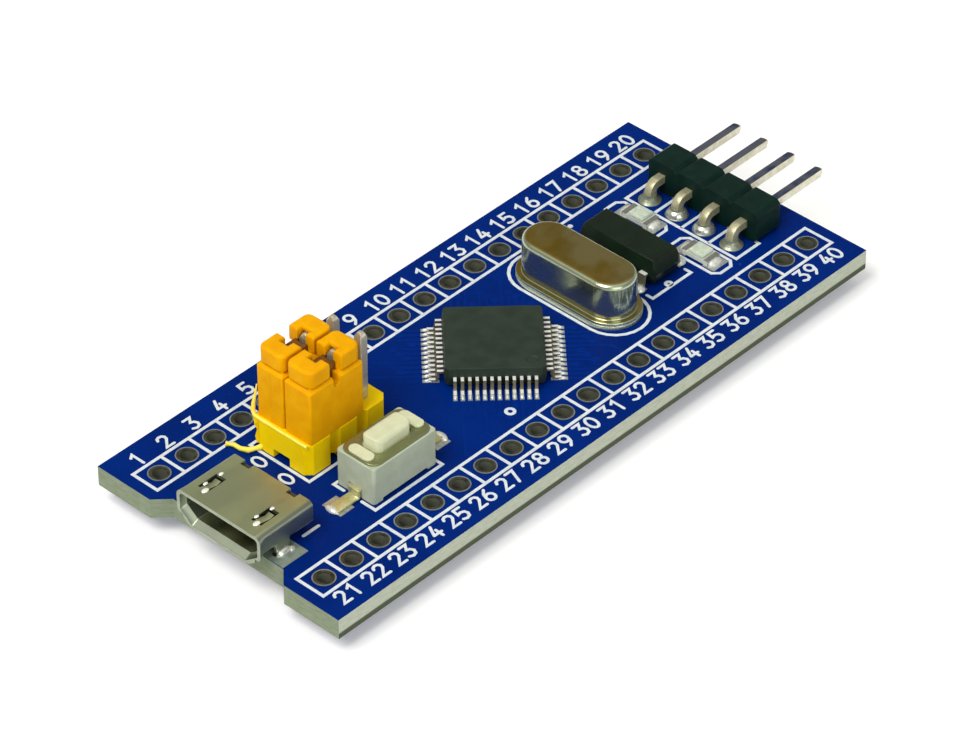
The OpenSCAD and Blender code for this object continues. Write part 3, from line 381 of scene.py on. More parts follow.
@dataclass(frozen=True)
class MaskedLaminate(Finish):
    """The board's own finish: mask on its faces, bare laminate at its edges, tin in its holes.

    Attributes:
        mask, deep: colours of the solder mask, mixed by its broad grain.
        dust: colour of the specks on it.
        laminate, fibre: colours of the routed ends and of the glass layers in them.
        sawn, sawn_layers: long edges' colour, lighter than the ends as painted light, and how much of the
            layers shows in them.
        scored, score_mm: colour and height of a band of painted shade along the foot of those edges.
        score_fade: height at which that band has faded, as a multiple of its own.
        barrel: colour of the plated hole walls, darkened as painted shade inside the holes.
        inner_mm: half sizes of the part of the board that holds the holes.
        grain_mm, layer_mm: sizes of the fine and the broad grain, in the mask and in the edges.
        layering: stretch that lays the grain of the edges in layers.
        dust_mm, dust_size: spacing of the specks, and their size as a share of it.
        polish: range of the mask's roughness.
        edge_rough: how much rougher the edges are.
        relief: strength of the mask's relief, and its depth in millimetres.
        specular: level of plain reflections.
    """

    name: str = "masked_laminate"
    slot: str = "solder_mask"
    mask: Screen = (0, 37, 116)
    deep: Screen = (0, 31, 104)
    dust: Screen = (60, 96, 170)
    laminate: Screen = (126, 136, 112)
    fibre: Screen = (138, 148, 126)
    sawn: Screen = (192, 197, 180)
    sawn_layers: float = 0.3
    scored: Screen = (84, 90, 72)
    score_mm: float = 0.38
    score_fade: float = 1.4
    barrel: Screen = (96, 98, 84)
    inner_mm: Point = (25.0, 10.5)
    grain_mm: Point = (0.25, 5.0)
    layer_mm: Point = (0.08, 0.2)
    layering: Triple = (0.25, 0.25, 1.0)
    dust_mm: float = 1.6
    dust_size: float = 0.035
    polish: Point = (0.26, 0.34)
    edge_rough: float = 0.4
    relief: Point = (0.12, 0.02)
    specular: float = 0.03

    def wire(self, graph: Graph, shader: Node, place: NodeSocket) -> None:
        """Wires mask, edges and hole walls into the shader, by the place and direction of a face.

        Args:
            graph: the material's graph.
            shader: its shader.
            place: its Object coordinates.
        """
        grain = graph.grain(place, *self.grain_mm)
        layers = graph.grain(graph.stretched(place, self.layering), *self.layer_mm)["Tone"]
        dust = graph.specks(place, self.dust_mm, self.dust_size)
        mask = graph.mix(grain["Tone"], self.mask, self.deep)
        mask = graph.mix(dust["Mask"], mask, self.dust)
        ends = graph.mix(layers, self.laminate, self.fibre)
        # painted light: the long edges are lighter than the routed ends, standing in for the light that
        # side catches
        sides = graph.mix(graph.math("MULTIPLY", layers, self.sawn_layers), self.sawn, self.fibre)
        spot, facing = graph.axes(place), graph.facing()
        # painted shade: a darker band along the foot of the long edges
        foot_band = self.score_mm * MM
        low = graph.ranged(spot[2], (foot_band, foot_band * self.score_fade), (1.0, 0.0))
        lengthwise = graph.math("GREATER_THAN", graph.math("ABSOLUTE", facing[1]), 0.9)
        edge = graph.mix(lengthwise, ends, graph.mix(low, sides, self.scored))
        within = [
            graph.math("LESS_THAN", graph.math("ABSOLUTE", reach), half * MM)
            for reach, half in zip(spot, self.inner_mm)
        ]
        # painted shade: the hole walls take a dark grey-green for the shade inside the holes
        wall = graph.mix(graph.math("MULTIPLY", *within), edge, self.barrel)
        flat = graph.math("GREATER_THAN", graph.math("ABSOLUTE", facing[2]), 0.5)
        polish = graph.ranged(grain["Tone"], (0.0, 1.0), self.polish)
        upright = graph.math("SUBTRACT", 1.0, flat)
        graph.fill(shader, {
            "Base Color": graph.mix(flat, wall, mask),
            "Roughness": graph.math("MULTIPLY_ADD", upright, self.edge_rough, polish),
            "Normal": graph.bump(grain["Height"], *self.relief),
            "Specular IOR Level": self.specular,
        })


class Finishes:
    """Every finish of the board, by the thing that wears it."""

    laminate = MaskedLaminate()
    trace = Surface("masked_trace", "solder_mask", (1, 40, 122), (0, 35, 113), 0.3, 0.05,
                    depth_mm=0.002, specular=0.03)
    ink = Surface("white_ink", "", (220, 226, 228), (200, 208, 214), 0.55, grain_mm=0.05, broad_mm=0.5)
    # painted highlight: the light grey of the thin rims round the header rings
    rim = Surface("ring_rim", "tinned_copper", (176, 182, 178), (136, 142, 138), 0.34, 0.1, 0.8,
                  broad_mm=0.4)
    # partly painted: the rings' own dull tin, darkened further as a painted reflection of the dim room
    # above them
    pad = Surface("tinned_ring", "tinned_copper", (112, 114, 100), (64, 68, 60), 0.38, 0.1, 1.0,
                  broad_mm=0.5)
    dull_land = Surface("dull_land", "tinned_copper", (158, 170, 158), (122, 136, 124), 0.45, 0.1, 0.5,
                        broad_mm=0.6)
    land = Surface("tinned_land", "tinned_copper", (196, 200, 194), (156, 160, 152), 0.36, 0.1, 0.6,
                   broad_mm=0.4)
    solder = Surface("bright_solder", "solder", (224, 226, 218), (186, 188, 178), 0.28, 0.1, 0.8,
                     grain_mm=0.2, broad_mm=0.5)
    # painted sheen: near white with little metal, so this solder reads as bright glints
    milky_solder = Surface("solder_white_sheen", "solder", (232, 234, 226), (196, 200, 190), 0.34, 0.12, 0.4,
                           grain_mm=0.2, broad_mm=0.4, depth_mm=0.006)
    dull_solder = Surface("dull_solder", "solder", (160, 164, 144), (116, 122, 102), 0.44, 0.1, 0.7,
                          broad_mm=0.5)
    # painted sheen: upward faces take a yellower olive than the lips, standing in for the light the shell's
    # top plate reflects
    usb_steel = Surface("usb_sheet", "usb_steel", (165, 173, 154), (149, 156, 136), 0.38, 0.06, 1.0,
                        grain_mm=0.05, broad_mm=1.6, depth_mm=0.0015, grain=Grain.ROLLED,
                        stain=(188, 196, 148), bare=0.7)
    # painted highlight: near white and barely metallic, so the finger bosses read as glints
    burnished = Surface("painted_glint_sheet", "usb_steel", (252, 252, 244), (238, 238, 226), 0.24, 0.05, 0.3)
    # partly painted light: the black plastic is lifted to dark olive for the light inside the socket's
    # mouth
    usb_black = Surface("usb_block", "usb_black_plastic", (60, 56, 36), (46, 43, 27))
    gold = Surface("gold_flash", "gold_contact", (222, 190, 118), (196, 160, 88), 0.28, 0.06, 1.0,
                   grain=Grain.ROLLED)
    resin = Surface("package_resin", "package_resin", (42, 54, 43), (33, 44, 35),
                    grain_mm=0.05, broad_mm=1.5, depth_mm=0.006, specks=0.06, specular=0.25)
    # painted light: the dark olive stands in for shade on the leads' slopes, and the near white on upward
    # faces is a painted highlight on shoulders and feet
    lead = Surface("matt_tin", "tinned_lead", (128, 124, 100), (100, 95, 72), 0.3, 0.08, 0.3,
                   broad_mm=0.4, depth_mm=0.002, stain=(250, 250, 246), bare=0.85)
    can = Surface("bright_nickel", "can_nickel", (192, 203, 180), (175, 184, 153), 0.2, 0.05, 0.96,
                  grain_mm=0.1, broad_mm=1.5, depth_mm=0.003, stain=(152, 126, 46), bare=0.72)
    flange = Surface("flange_nickel", "can_nickel", (212, 218, 195), (190, 196, 170), 0.28, 0.06, 0.8,
                     grain_mm=0.1, depth_mm=0.002)
    seal = Surface("seal_glass", "seal_glass", (70, 92, 88), (50, 70, 66), 0.2)
    spring = Surface("spring_sheet", "spring_steel", (200, 200, 194), (168, 168, 160), 0.32, 0.06, 0.8,
                     grain=Grain.ROLLED)
    quartz = Surface("quartz_blank", "quartz", (226, 230, 232), (206, 212, 214), 0.15)
    watch = Surface("watch_moulding", "watch_resin", (22, 36, 24), (16, 27, 17), 0.3, 0.06,
                    grain_mm=0.08, depth_mm=0.003, specular=0.15)
    black = Surface("header_black", "header_black", (12, 38, 32), (8, 30, 25), 0.42,
                    broad_mm=0.9, specular=0.1)
    pin = Surface("plated_pin", "pin_tin", (216, 212, 192), (190, 184, 160), 0.34, 0.06, 0.7,
                  grain_mm=0.2, broad_mm=0.8, depth_mm=0.0005)
    # painted reflection: the navy on upward faces stands in for the dark room mirrored in the pins' tops
    debug_pin = Surface("debug_pin", "pin_tin", (236, 232, 212), (216, 210, 184), 0.34, 0.06, 0.4,
                        grain_mm=0.2, broad_mm=0.6, depth_mm=0.0005, stain=(40, 52, 84), bare=0.9)
    leg = Surface("dull_leg", "pin_tin", (206, 202, 168), (176, 170, 134), 0.4, 0.08, 0.6,
                  broad_mm=0.5, depth_mm=0.002)
    # painted shade: the clip's dark brown, darker than bare metal, stands in for the shade in the cap's
    # notch
    clip = Surface("clip_painted_shade", "spring_steel", (150, 112, 62), (118, 84, 42), 0.36, 0.08, 0.8,
                   broad_mm=0.6)
    yellow = Surface("header_yellow", "header_yellow", (255, 219, 0), (253, 210, 0), 0.4, 0.07,
                     broad_mm=1.0, specular=0.06)
    flash = Surface("mould_flash", "header_yellow", (255, 234, 104), (252, 226, 72), 0.4, 0.07,
                    broad_mm=0.6, specular=0.1, glow=0.1)
    orange = Surface("jumper_orange", "jumper_orange", (234, 168, 2), (226, 156, 0), 0.4, 0.07,
                     broad_mm=1.1, specular=0.06, glow=0.1)
    grey = Surface("switch_grey", "switch_grey", (182, 190, 168), (172, 180, 158), 0.5, 0.07,
                   broad_mm=1.0, specular=0.3)
    cover = Surface("switch_cover", "switch_cover_steel", (150, 154, 108), (128, 132, 90), 0.34, 0.08, 0.8,
                    broad_mm=0.8, grain=Grain.ROLLED)
    ivory = Surface("button_ivory", "button_ivory", (210, 213, 178), (200, 203, 167), 0.45, 0.06,
                    broad_mm=0.9, glow=0.15)
    brass = Surface("terminal_strip", "terminal_brass", (222, 220, 172), (196, 190, 130), 0.32, 0.08, 0.7,
                    broad_mm=0.5, depth_mm=0.002)
    led_base = Surface("light_carrier", "led_white", (216, 220, 208), (196, 202, 188), 0.55)
    led_lens = Surface("milky_resin", "led_resin", (204, 214, 196), (182, 194, 176), 0.22, 0.06,
                       broad_mm=0.4, glow=0.5)
    chip_end = Surface("chip_end", "chip_end_tin", (206, 206, 202), (166, 166, 160), 0.3, 0.1, 1.0,
                       broad_mm=0.3)
    capacitor = Surface("capacitor_body", "capacitor_ceramic", (176, 142, 100), (156, 122, 84), 0.45)
    resistor = Surface("resistor_body", "resistor_ceramic", (38, 38, 40), (28, 28, 30), 0.35)


@dataclass(frozen=True)
class Stroke:
    """A line in plan, in millimetres or in shares of a digit's height.

    Attributes:
        points: its points in order.
        closed: whether its last point joins its first.
    """

    points: tuple[Point, ...]
    closed: bool = False


def line(*points: Point) -> Stroke:
    """Returns an open line through points."""
    return Stroke(points)


def oval(x: float, y: float, wide: float, high: float, steps: int = 14) -> Stroke:
    """Returns a closed line round an oval with those half sizes."""
    turns = [math.tau * step / steps for step in range(steps)]
    return Stroke(tuple((x + wide * math.cos(a), y + high * math.sin(a)) for a in turns), True)


def rectangle(x: Point, y: Point, chamfer: float = 0.0) -> Stroke:
    """Draws a line round a rectangle.

    Args:
        x, y: its ends along each axis.
        chamfer: how much of each corner is cut off.

    Returns:
        The closed line.
    """
    (west, east), (south, north), c = x, y, chamfer
    if not c:
        return Stroke(((west, south), (east, south), (east, north), (west, north)), True)
    return Stroke(((west + c, south), (east - c, south), (east, south + c), (east, north - c),
                   (east - c, north), (west + c, north), (west, north - c), (west, south + c)), True)


DIGITS: dict[str, tuple[Stroke, ...]] = {
    "0": (oval(0.3, 0.5, 0.3, 0.5),),
    "1": (line((0.1, 0.8), (0.36, 1.0), (0.36, 0.0)),),
    "2": (line((0.02, 0.78), (0.1, 0.93), (0.28, 1.0), (0.47, 0.95), (0.58, 0.8), (0.54, 0.6),
               (0.02, 0.0), (0.6, 0.0)),),
    "3": (line((0.04, 1.0), (0.56, 1.0), (0.28, 0.62), (0.48, 0.54), (0.6, 0.32), (0.5, 0.08),
               (0.26, 0.0), (0.02, 0.12)),),
    "4": (line((0.4, 1.0), (0.03, 0.3)), line((0.03, 0.3), (0.64, 0.3)), line((0.45, 0.6), (0.45, 0.0))),
    "5": (line((0.56, 1.0), (0.1, 1.0), (0.05, 0.55), (0.3, 0.62), (0.53, 0.52), (0.6, 0.3),
               (0.5, 0.08), (0.25, 0.0), (0.02, 0.1)),),
    "6": (oval(0.3, 0.3, 0.29, 0.3), line((0.02, 0.36), (0.14, 0.72), (0.42, 1.0))),
    "7": (line((0.02, 1.0), (0.58, 1.0), (0.2, 0.0)),),
    "8": (oval(0.3, 0.76, 0.24, 0.24), oval(0.3, 0.27, 0.29, 0.27)),
    "9": (oval(0.3, 0.7, 0.29, 0.3), line((0.58, 0.64), (0.46, 0.28), (0.18, 0.0))),
}


def placed(name: str, data: bpy.types.ID) -> Object:
    """Puts an object in the scene, at the origin.

    Args:
        name: name of the object.
        data: its mesh, lamp or camera.

    Returns:
        The object.
    """
    made = bpy.data.objects.new(name, data)
    bpy.context.scene.collection.objects.link(made)
    return made


def only(kind: type, geometry: Iterable) -> list:
    """Returns the parts of a mesh that are of one kind."""
    return [part for part in geometry if isinstance(part, kind)]


class Sketch:
    """A mesh under construction, in millimetres.

    Attributes:
        ring_steps: steps of a ring.
        ball_steps: steps of a ball, round its axis and along it.
        crown_steps: steps of the rounding at the topmost faces.
        weld: distance within which points of a CAD node are merged.
        level: angle in degrees up to which its faces count as one.
    """

    ring_steps: ClassVar[int] = 28
    ball_steps: ClassVar[tuple[int, int]] = (16, 10)
    crown_steps: ClassVar[int] = 5
    weld: ClassVar[float] = 0.0005
    level: ClassVar[float] = 1.0

    def __init__(self) -> None:
        """Starts empty."""
        self.bm = bmesh.new()

    def whole(self) -> list:
        """Returns all its points, edges and faces."""
        return [*self.bm.verts, *self.bm.edges, *self.bm.faces]

    def chain(self, places: Iterable[Sequence[float]]) -> list[BMEdge]:
        """Joins places by a closed chain of edges, and returns the edges."""
        verts = [self.bm.verts.new(place) for place in places]
        return [self.bm.edges.new(pair) for pair in zip(verts, verts[1:] + verts[:1])]

    def loop(self, points: Iterable[Sequence[float]], z: float) -> list[BMEdge]:
        """Joins points by a closed chain of edges at a height."""
        return self.chain((*point, z) for point in points)

    def raised(self, faces: Sequence[BMFace], height: float) -> None:
        """Gives flat faces a thickness upwards."""
        grown = bmesh.ops.extrude_face_region(self.bm, geom=list(faces))["geom"]
        bmesh.ops.translate(self.bm, vec=(0, 0, height), verts=only(BMVert, grown))

    def slab(self, outline: Iterable[Sequence[float]], low: float, high: float) -> None:
        """Adds a flat shape between two heights."""
        made = bmesh.ops.contextual_create(self.bm, geom=self.loop(outline, low))
        self.raised(made["faces"], high - low)

    def disc(self, centre: Point, radius: float, low: float, high: float, sides: int = 20) -> None:
        """Adds a flat round spot.

        Args:
            centre: its middle.
            radius: its radius.
            low, high: heights between which it lies.
            sides: its number of sides.
        """
        place = Matrix.Translation((*centre, (low + high) / 2))
        bmesh.ops.create_cone(
            self.bm, cap_ends=True, segments=sides, radius1=radius, radius2=radius, depth=high - low,
            matrix=place,
        )

    def ring(self, centre: Point, radius: float, width: float, low: float, high: float) -> None:
        """Adds a flat ring, spun from its section.

        Args:
            centre: its middle.
            radius, width: middle radius and width of its band.
            low, high: heights between which it lies.
        """
        corners = ((-width / 2, low), (width / 2, low), (width / 2, high), (-width / 2, high))
        edges = self.chain((centre[0] + radius + x, centre[1], z) for x, z in corners)
        bmesh.ops.spin(
            self.bm, geom=[edge.verts[0] for edge in edges] + edges, cent=(*centre, low), axis=(0, 0, 1),
            angle=math.tau, steps=self.ring_steps, use_merge=True,
        )

    def ribbon(self, stroke: Stroke, width: float, low: float, high: float) -> None:
        """Adds a flat line of ink or copper, mitred at its bends and round at open ends.

        Args:
            stroke: the line that it follows.
            width: width of the line.
            low, high: heights between which it lies.
        """
        path, half = [Vector(point) for point in stroke.points], width / 2
        ahead = [(b - a).normalized() for a, b in zip(path, path[1:] + path[:1])]
        if not stroke.closed:
            ahead.pop()
        left, right = [], []
        for index, here in enumerate(path):
            into = ahead[index - 1] if stroke.closed or index else ahead[0]
            onto = ahead[min(index, len(ahead) - 1)]
            across = (into + onto).orthogonal().normalized()
            reach = across * half / max(across.dot(into.orthogonal()), 0.5)
            left.append(here + reach)
            right.append(here - reach)
        if stroke.closed:
            edges = self.loop(left, low) + self.loop(right, low)
            self.raised(bmesh.ops.bridge_loops(self.bm, edges=edges)["faces"], high - low)
        else:
            end, start = self._cap(path[-1], ahead[-1], half), self._cap(path[0], -ahead[0], half)
            self.slab(left + end + right[::-1] + start, low, high)

    @staticmethod
    def _cap(centre: Vector, ahead: Vector, half: float) -> list[Vector]:
        """Returns points of a round end, from the left of a line to its right."""
        turns = (math.radians(angle) for angle in (45, 90, 135))
        return [centre + half * (math.cos(a) * ahead.orthogonal() + math.sin(a) * ahead) for a in turns]

    def blob(self, centre: Triple, radii: Triple, floor: float, turn: float = 0.0) -> None:
        """Adds a ball drawn out along each axis and cut off at a floor.

        Args:
            centre: its middle.
            radii: its half sizes.
            floor: height of the cut.
            turn: its turn about Z.
        """
        place = Matrix.Translation(centre) @ Matrix.Rotation(turn, 4, "Z") @ Matrix.Diagonal((*radii, 1.0))
        round_steps, long_steps = self.ball_steps
        verts = bmesh.ops.create_uvsphere(
            self.bm, u_segments=round_steps, v_segments=long_steps, radius=1.0, matrix=place
        )["verts"]
        edges, faces = {e for v in verts for e in v.link_edges}, {f for v in verts for f in v.link_faces}
        cut = bmesh.ops.bisect_plane(
            self.bm, geom=[*verts, *edges, *faces], plane_co=(0, 0, floor), plane_no=(0, 0, 1),
            clear_inner=True,
        )
        bmesh.ops.holes_fill(self.bm, edges=only(BMEdge, cut["geom_cut"]))

    def thread(self, path: Sequence[Bead], sides: int = 8) -> None:
        """Adds a thin thread of plastic.

        Args:
            path: places that it runs through, each with its radius as the fourth number.
            sides: its number of sides.
        """
        rings: list[list[BMEdge]] = []
        last = len(path) - 1
        for index, (*spot, radius) in enumerate(path):
            ahead = Vector(path[min(index + 1, last)][:3]) - Vector(path[max(index - 1, 0)][:3])
            place = Matrix.Translation(spot) @ ahead.to_track_quat("Z", "Y").to_matrix().to_4x4()
            made = bmesh.ops.create_circle(
                self.bm, cap_ends=index in (0, last), segments=sides, radius=radius, matrix=place
            )
            rings.append(list({e for v in made["verts"] for e in v.link_edges}))
        for near, far in zip(rings, rings[1:]):
            bmesh.ops.bridge_loops(self.bm, edges=near + far)

    def node_copy(self, node: str) -> None:
        """Adds a merged copy of a CAD node, with its flat faces whole.

        Args:
            node: name of the node.
        """
        self.bm.from_mesh(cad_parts[node].data)
        bmesh.ops.scale(self.bm, vec=(1 / MM,) * 3, verts=self.bm.verts)
        bmesh.ops.remove_doubles(self.bm, verts=self.bm.verts, dist=self.weld)
        bmesh.ops.dissolve_limit(
            self.bm, angle_limit=math.radians(self.level), verts=self.bm.verts, edges=self.bm.edges
        )

    def split(self, x: float) -> None:
        """Cuts the faces at a place along X, for two finishes."""
        bmesh.ops.bisect_plane(self.bm, geom=self.whole(), plane_co=(x, 0, 0), plane_no=(1, 0, 0))

    def bevel(self, edges: list[BMEdge], width: float, segments: int) -> None:
        """Rounds edges.

        Args:
            edges: the edges.
            width, segments: width of the rounding, and its steps.
        """
        bmesh.ops.bevel(
            self.bm, geom=edges, offset=width, offset_type="OFFSET", segments=segments, profile=0.5,
            affect="EDGES", clamp_overlap=True, material=-1,
        )

    def round_crown(self, width: float) -> None:
        """Rounds the edges round the topmost faces.

        Args:
            width: width of the rounding.
        """
        top = max(v.co.z for v in self.bm.verts) - 0.01
        edges = [e for e in self.bm.edges if all(v.co.z > top for v in e.verts)]
        self.bevel(edges, width, self.crown_steps)

    def round_edges(self, width: float, segments: int = 2, angle: float = 30.0) -> None:
        """Rounds every sharp edge between two faces.

        Args:
            width, segments: width of the rounding, and its steps.
            angle: angle in degrees over which an edge counts as sharp.
        """
        limit = math.radians(angle)
        edges = [e for e in self.bm.edges if len(e.link_faces) == 2 and e.calc_face_angle() > limit]
        self.bevel(edges, width, segments)

    def finish(self, name: str, finish: Finish, replaces: Iterable[str] = (), body: Body = Body.BOARD,
               smooth: float = 35.0) -> Object:
        """Makes the mesh a piece of the part.

        Args:
            name: name of the piece.
            finish: what it wears.
            replaces: CAD nodes that it stands for.
            body: the body that it rides on.
            smooth: angle in degrees over which an edge stays sharp.

        Returns:
            The piece.
        """
        bmesh.ops.recalc_face_normals(self.bm, faces=self.bm.faces)
        bmesh.ops.scale(self.bm, vec=(MM,) * 3, verts=self.bm.verts)
        mesh = bpy.data.meshes.new(name)
        self.bm.to_mesh(mesh)
        self.bm.free()
        mesh.shade_smooth()
        mesh.set_sharp_from_angle(angle=math.radians(smooth))
        mesh.materials.append(finish.material())
        piece = placed(name, mesh)
        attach(piece, body.value)
        if replaces:
            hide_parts(*replaces)
        LOG.info("piece %s: %d faces", name, len(mesh.polygons))
        return piece


def dress(finish: Finish, *nodes: str) -> None:
    """Gives CAD nodes a finish.

    Args:
        finish: what they wear.
        nodes: names of the nodes.
    """
    for node in nodes:
        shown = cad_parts[node]
        if not shown.material_slots:
            shown.data.materials.append(None)
        for slot in shown.material_slots:
            slot.material = finish.material()
        LOG.info("node %s wears %s", node, finish.name)


@dataclass(frozen=True)
class Rounded:
    """A CAD node that is shown as a copy with rounded edges.

    Attributes:
        node, name: the CAD node, and the piece that stands for it.
        finish: what it wears.
        width, segments: width of the rounding in millimetres, and its steps.
        crown: width of the rounding at its topmost faces, if they have their own.
        split_x, beyond: place along X where its finish changes, and the finish on the side of lower X.
        body: the body that it rides on.
    """

    node: str
    name: str
    finish: Finish
    width: float
    segments: int = 2
    crown: float = 0.0
    split_x: float = 0.0
    beyond: Finish | None = None
    body: Body = Body.BOARD

    def build(self) -> None:
        """Builds the copy in the place of its node."""
        sketch = Sketch()
        sketch.node_copy(self.node)
        if self.crown:
            sketch.round_crown(self.crown)
        sketch.round_edges(self.width, self.segments)
        if self.beyond:
            sketch.split(self.split_x)
        piece = sketch.finish(self.name, self.finish, (self.node,), self.body, smooth=50.0)
        even = piece.modifiers.new("even_shading", "WEIGHTED_NORMAL")
        even.keep_sharp = True
        if self.beyond:
            piece.data.materials.append(self.beyond.material())
            for face in piece.data.polygons:
                face.material_index = int(face.center.x < self.split_x * MM)


@dataclass(frozen=True)
class Drop:
    """A drop of solder on a land.

    Attributes:
        at: its place in plan.
        radii: its half sizes.
        turn: its turn about Z.
    """

    at: Point
    radii: Triple
    turn: float = 0.0


def solder(name: str, finish: Finish, drops: Iterable[Drop]) -> None:
    """Builds drops of solder as one piece.

    Args:
        name: name of the piece.
        finish: what it wears.
        drops: the drops.
    """
    sketch = Sketch()
    for drop in drops:
        sketch.blob((*drop.at, SEAT), drop.radii, SEAT, drop.turn)
    sketch.finish(name, finish)


def threads(name: str, finish: Finish, *paths: Sequence[Bead], body: Body = Body.BOARD) -> None:
    """Builds thin threads of plastic as one piece.

    Args:
        name: name of the piece.
        finish: what it wears.
        paths: places that each thread runs through, with its radius there.
        body: the body that it rides on.
    """
    sketch = Sketch()
    for path in paths:
        sketch.thread(path)
    sketch.finish(name, finish, body=body, smooth=80.0)


class Assembly:
    """A sub-assembly of the board.

    Attributes:
        rounded: its CAD nodes that are shown with rounded edges.
        worn: its CAD nodes that stay as they are, by their finish.
    """

    rounded: ClassVar[tuple[Rounded, ...]] = ()
    worn: ClassVar[dict[Finish, tuple[str, ...]]] = {}

    def build(self) -> None:
        """Builds the pieces with rounded edges."""
        for piece in self.rounded:
            piece.build()

    def dress(self) -> None:
        """Gives the CAD nodes that stay their finish."""
        for finish, nodes in self.worn.items():
            dress(finish, *nodes)


@dataclass
class Controller(Assembly):
    """The square package and the solder toes of its leads.

    Attributes:
        x: place of its middle.
        toe: distance of a toe from that middle.
        pitch: lead pitch.
        leads: leads on a side.
        drop: half sizes of a toe: outwards, across and up.
    """

    rounded = (Rounded("controller_body", "controller_moulding", Finishes.resin, 0.06),)
    worn = {Finishes.lead: ("controller_leads",)}
    x: float = 0.1
    toe: float = 4.5
    pitch: float = 0.5
    leads: int = 12
    drop: Triple = (0.34, 0.145, 0.14)

    def across(self, lead: int) -> float:
        """Returns the place of a lead along its side, from the middle of that side."""
        return (lead - (self.leads - 1) / 2) * self.pitch

    def build(self) -> None:
        """Builds the body, and the solder."""
        super().build()
        toes = []
        for turn in (math.pi / 4 + side * math.pi / 2 for side in range(4)):
            for lead in range(self.leads):
                spot = Matrix.Rotation(turn, 2) @ Vector((self.toe, self.across(lead)))
                toes.append(Drop((spot.x + self.x, spot.y), self.drop, turn))
        solder("controller_solder", Finishes.milky_solder, toes)


@dataclass
class BoardPlate(Assembly):
    """The laminate with its rings and lands, and the copper that shows through its mask.

    Attributes:
        chip: the controller, from which the traces leave.
        pitch, holes: pitch of the header holes, and holes in a row.
        row_y: distance of a row from the middle.
        rim_r, rim_w: middle radius and width of the rim of a ring, painted light grey as a highlight.
        rim_z: heights over the board between which that rim lies.
        trace_w, trace_h: width and height of a copper trace under the mask.
        trace_from: distance of its start from the controller's middle.
        via_r: radius of a covered via.
        stub, stub_step: length of the shortest trace to a via, and how much longer the next ones are.
        routed: leads, counted along each side, that run to a header ring, with the ring's place along X.
    """

    worn = {
        Finishes.laminate: ("board",),
        Finishes.pad: ("header_pads",),
        Finishes.dull_land: ("through_pads",),
        Finishes.land: ("chip_pads",),
    }
    chip: Controller
    pitch: float = 2.54
    holes: int = 20
    row_y: float = 7.62
    rim_r: float = 0.77
    rim_w: float = 0.09
    rim_z: Point = (0.02, 0.065)
    trace_w: float = 0.2
    trace_h: float = 0.012
    trace_from: float = 4.55
    via_r: float = 0.3
    stub: float = 1.0
    stub_step: float = 0.42
    routed: dict[int, float] = field(default_factory=lambda: {9: 3.81, 4: 6.35, 1: 8.89})

    def hole_x(self, index: int) -> float:
        """Returns the place of a header hole along X."""
        return (index - (self.holes - 1) / 2) * self.pitch

    def build(self) -> None:
        """Builds the rims of the header rings and the copper traces."""
        rims = Sketch()
        low, high = self.rim_z
        for index in range(self.holes):
            for side in (-1, 1):
                spot = (self.hole_x(index), side * self.row_y)
                rims.ring(spot, self.rim_r, self.rim_w, TOP + low, TOP + high)
                rims.ring(spot, self.rim_r, self.rim_w, -high, -low)
        rims.finish("ring_rims", Finishes.rim)
        traces = Sketch()
        for east in (-1, 1):
            for north in (-1, 1):
                for lead in range(self.chip.leads):
                    self.trace(traces, east, north, lead)
        traces.finish("mask_traces", Finishes.trace)

    def trace(self, sketch: Sketch, east: int, north: int, lead: int) -> None:
        """Adds the trace that leaves one lead of the controller.

        Args:
            sketch: where the trace is added.
            east, north: signs of the direction in which the lead points.
            lead: its number along that side.
        """
        outward, along = Vector((east, north)) / math.sqrt(2), Vector((-east, north)) / math.sqrt(2)
        start = Vector((self.chip.x, 0.0)) + outward * self.trace_from + along * self.chip.across(lead)
        low, high = TOP, TOP + self.trace_h
        if lead in self.routed:
            column = east * self.routed[lead]
            bend = start + outward * math.sqrt(2) * abs(column - start.x)
            end = (column, north * (self.row_y - self.rim_r))
            sketch.ribbon(line(tuple(start), tuple(bend), end), self.trace_w, low, high)
            return
        end = start + outward * (self.stub + self.stub_step * (lead * 5 % 4))
        sketch.ribbon(line(tuple(start), tuple(end)), self.trace_w, low, high)
        sketch.disc(tuple(end), self.via_r, low, high + self.trace_h / 3)


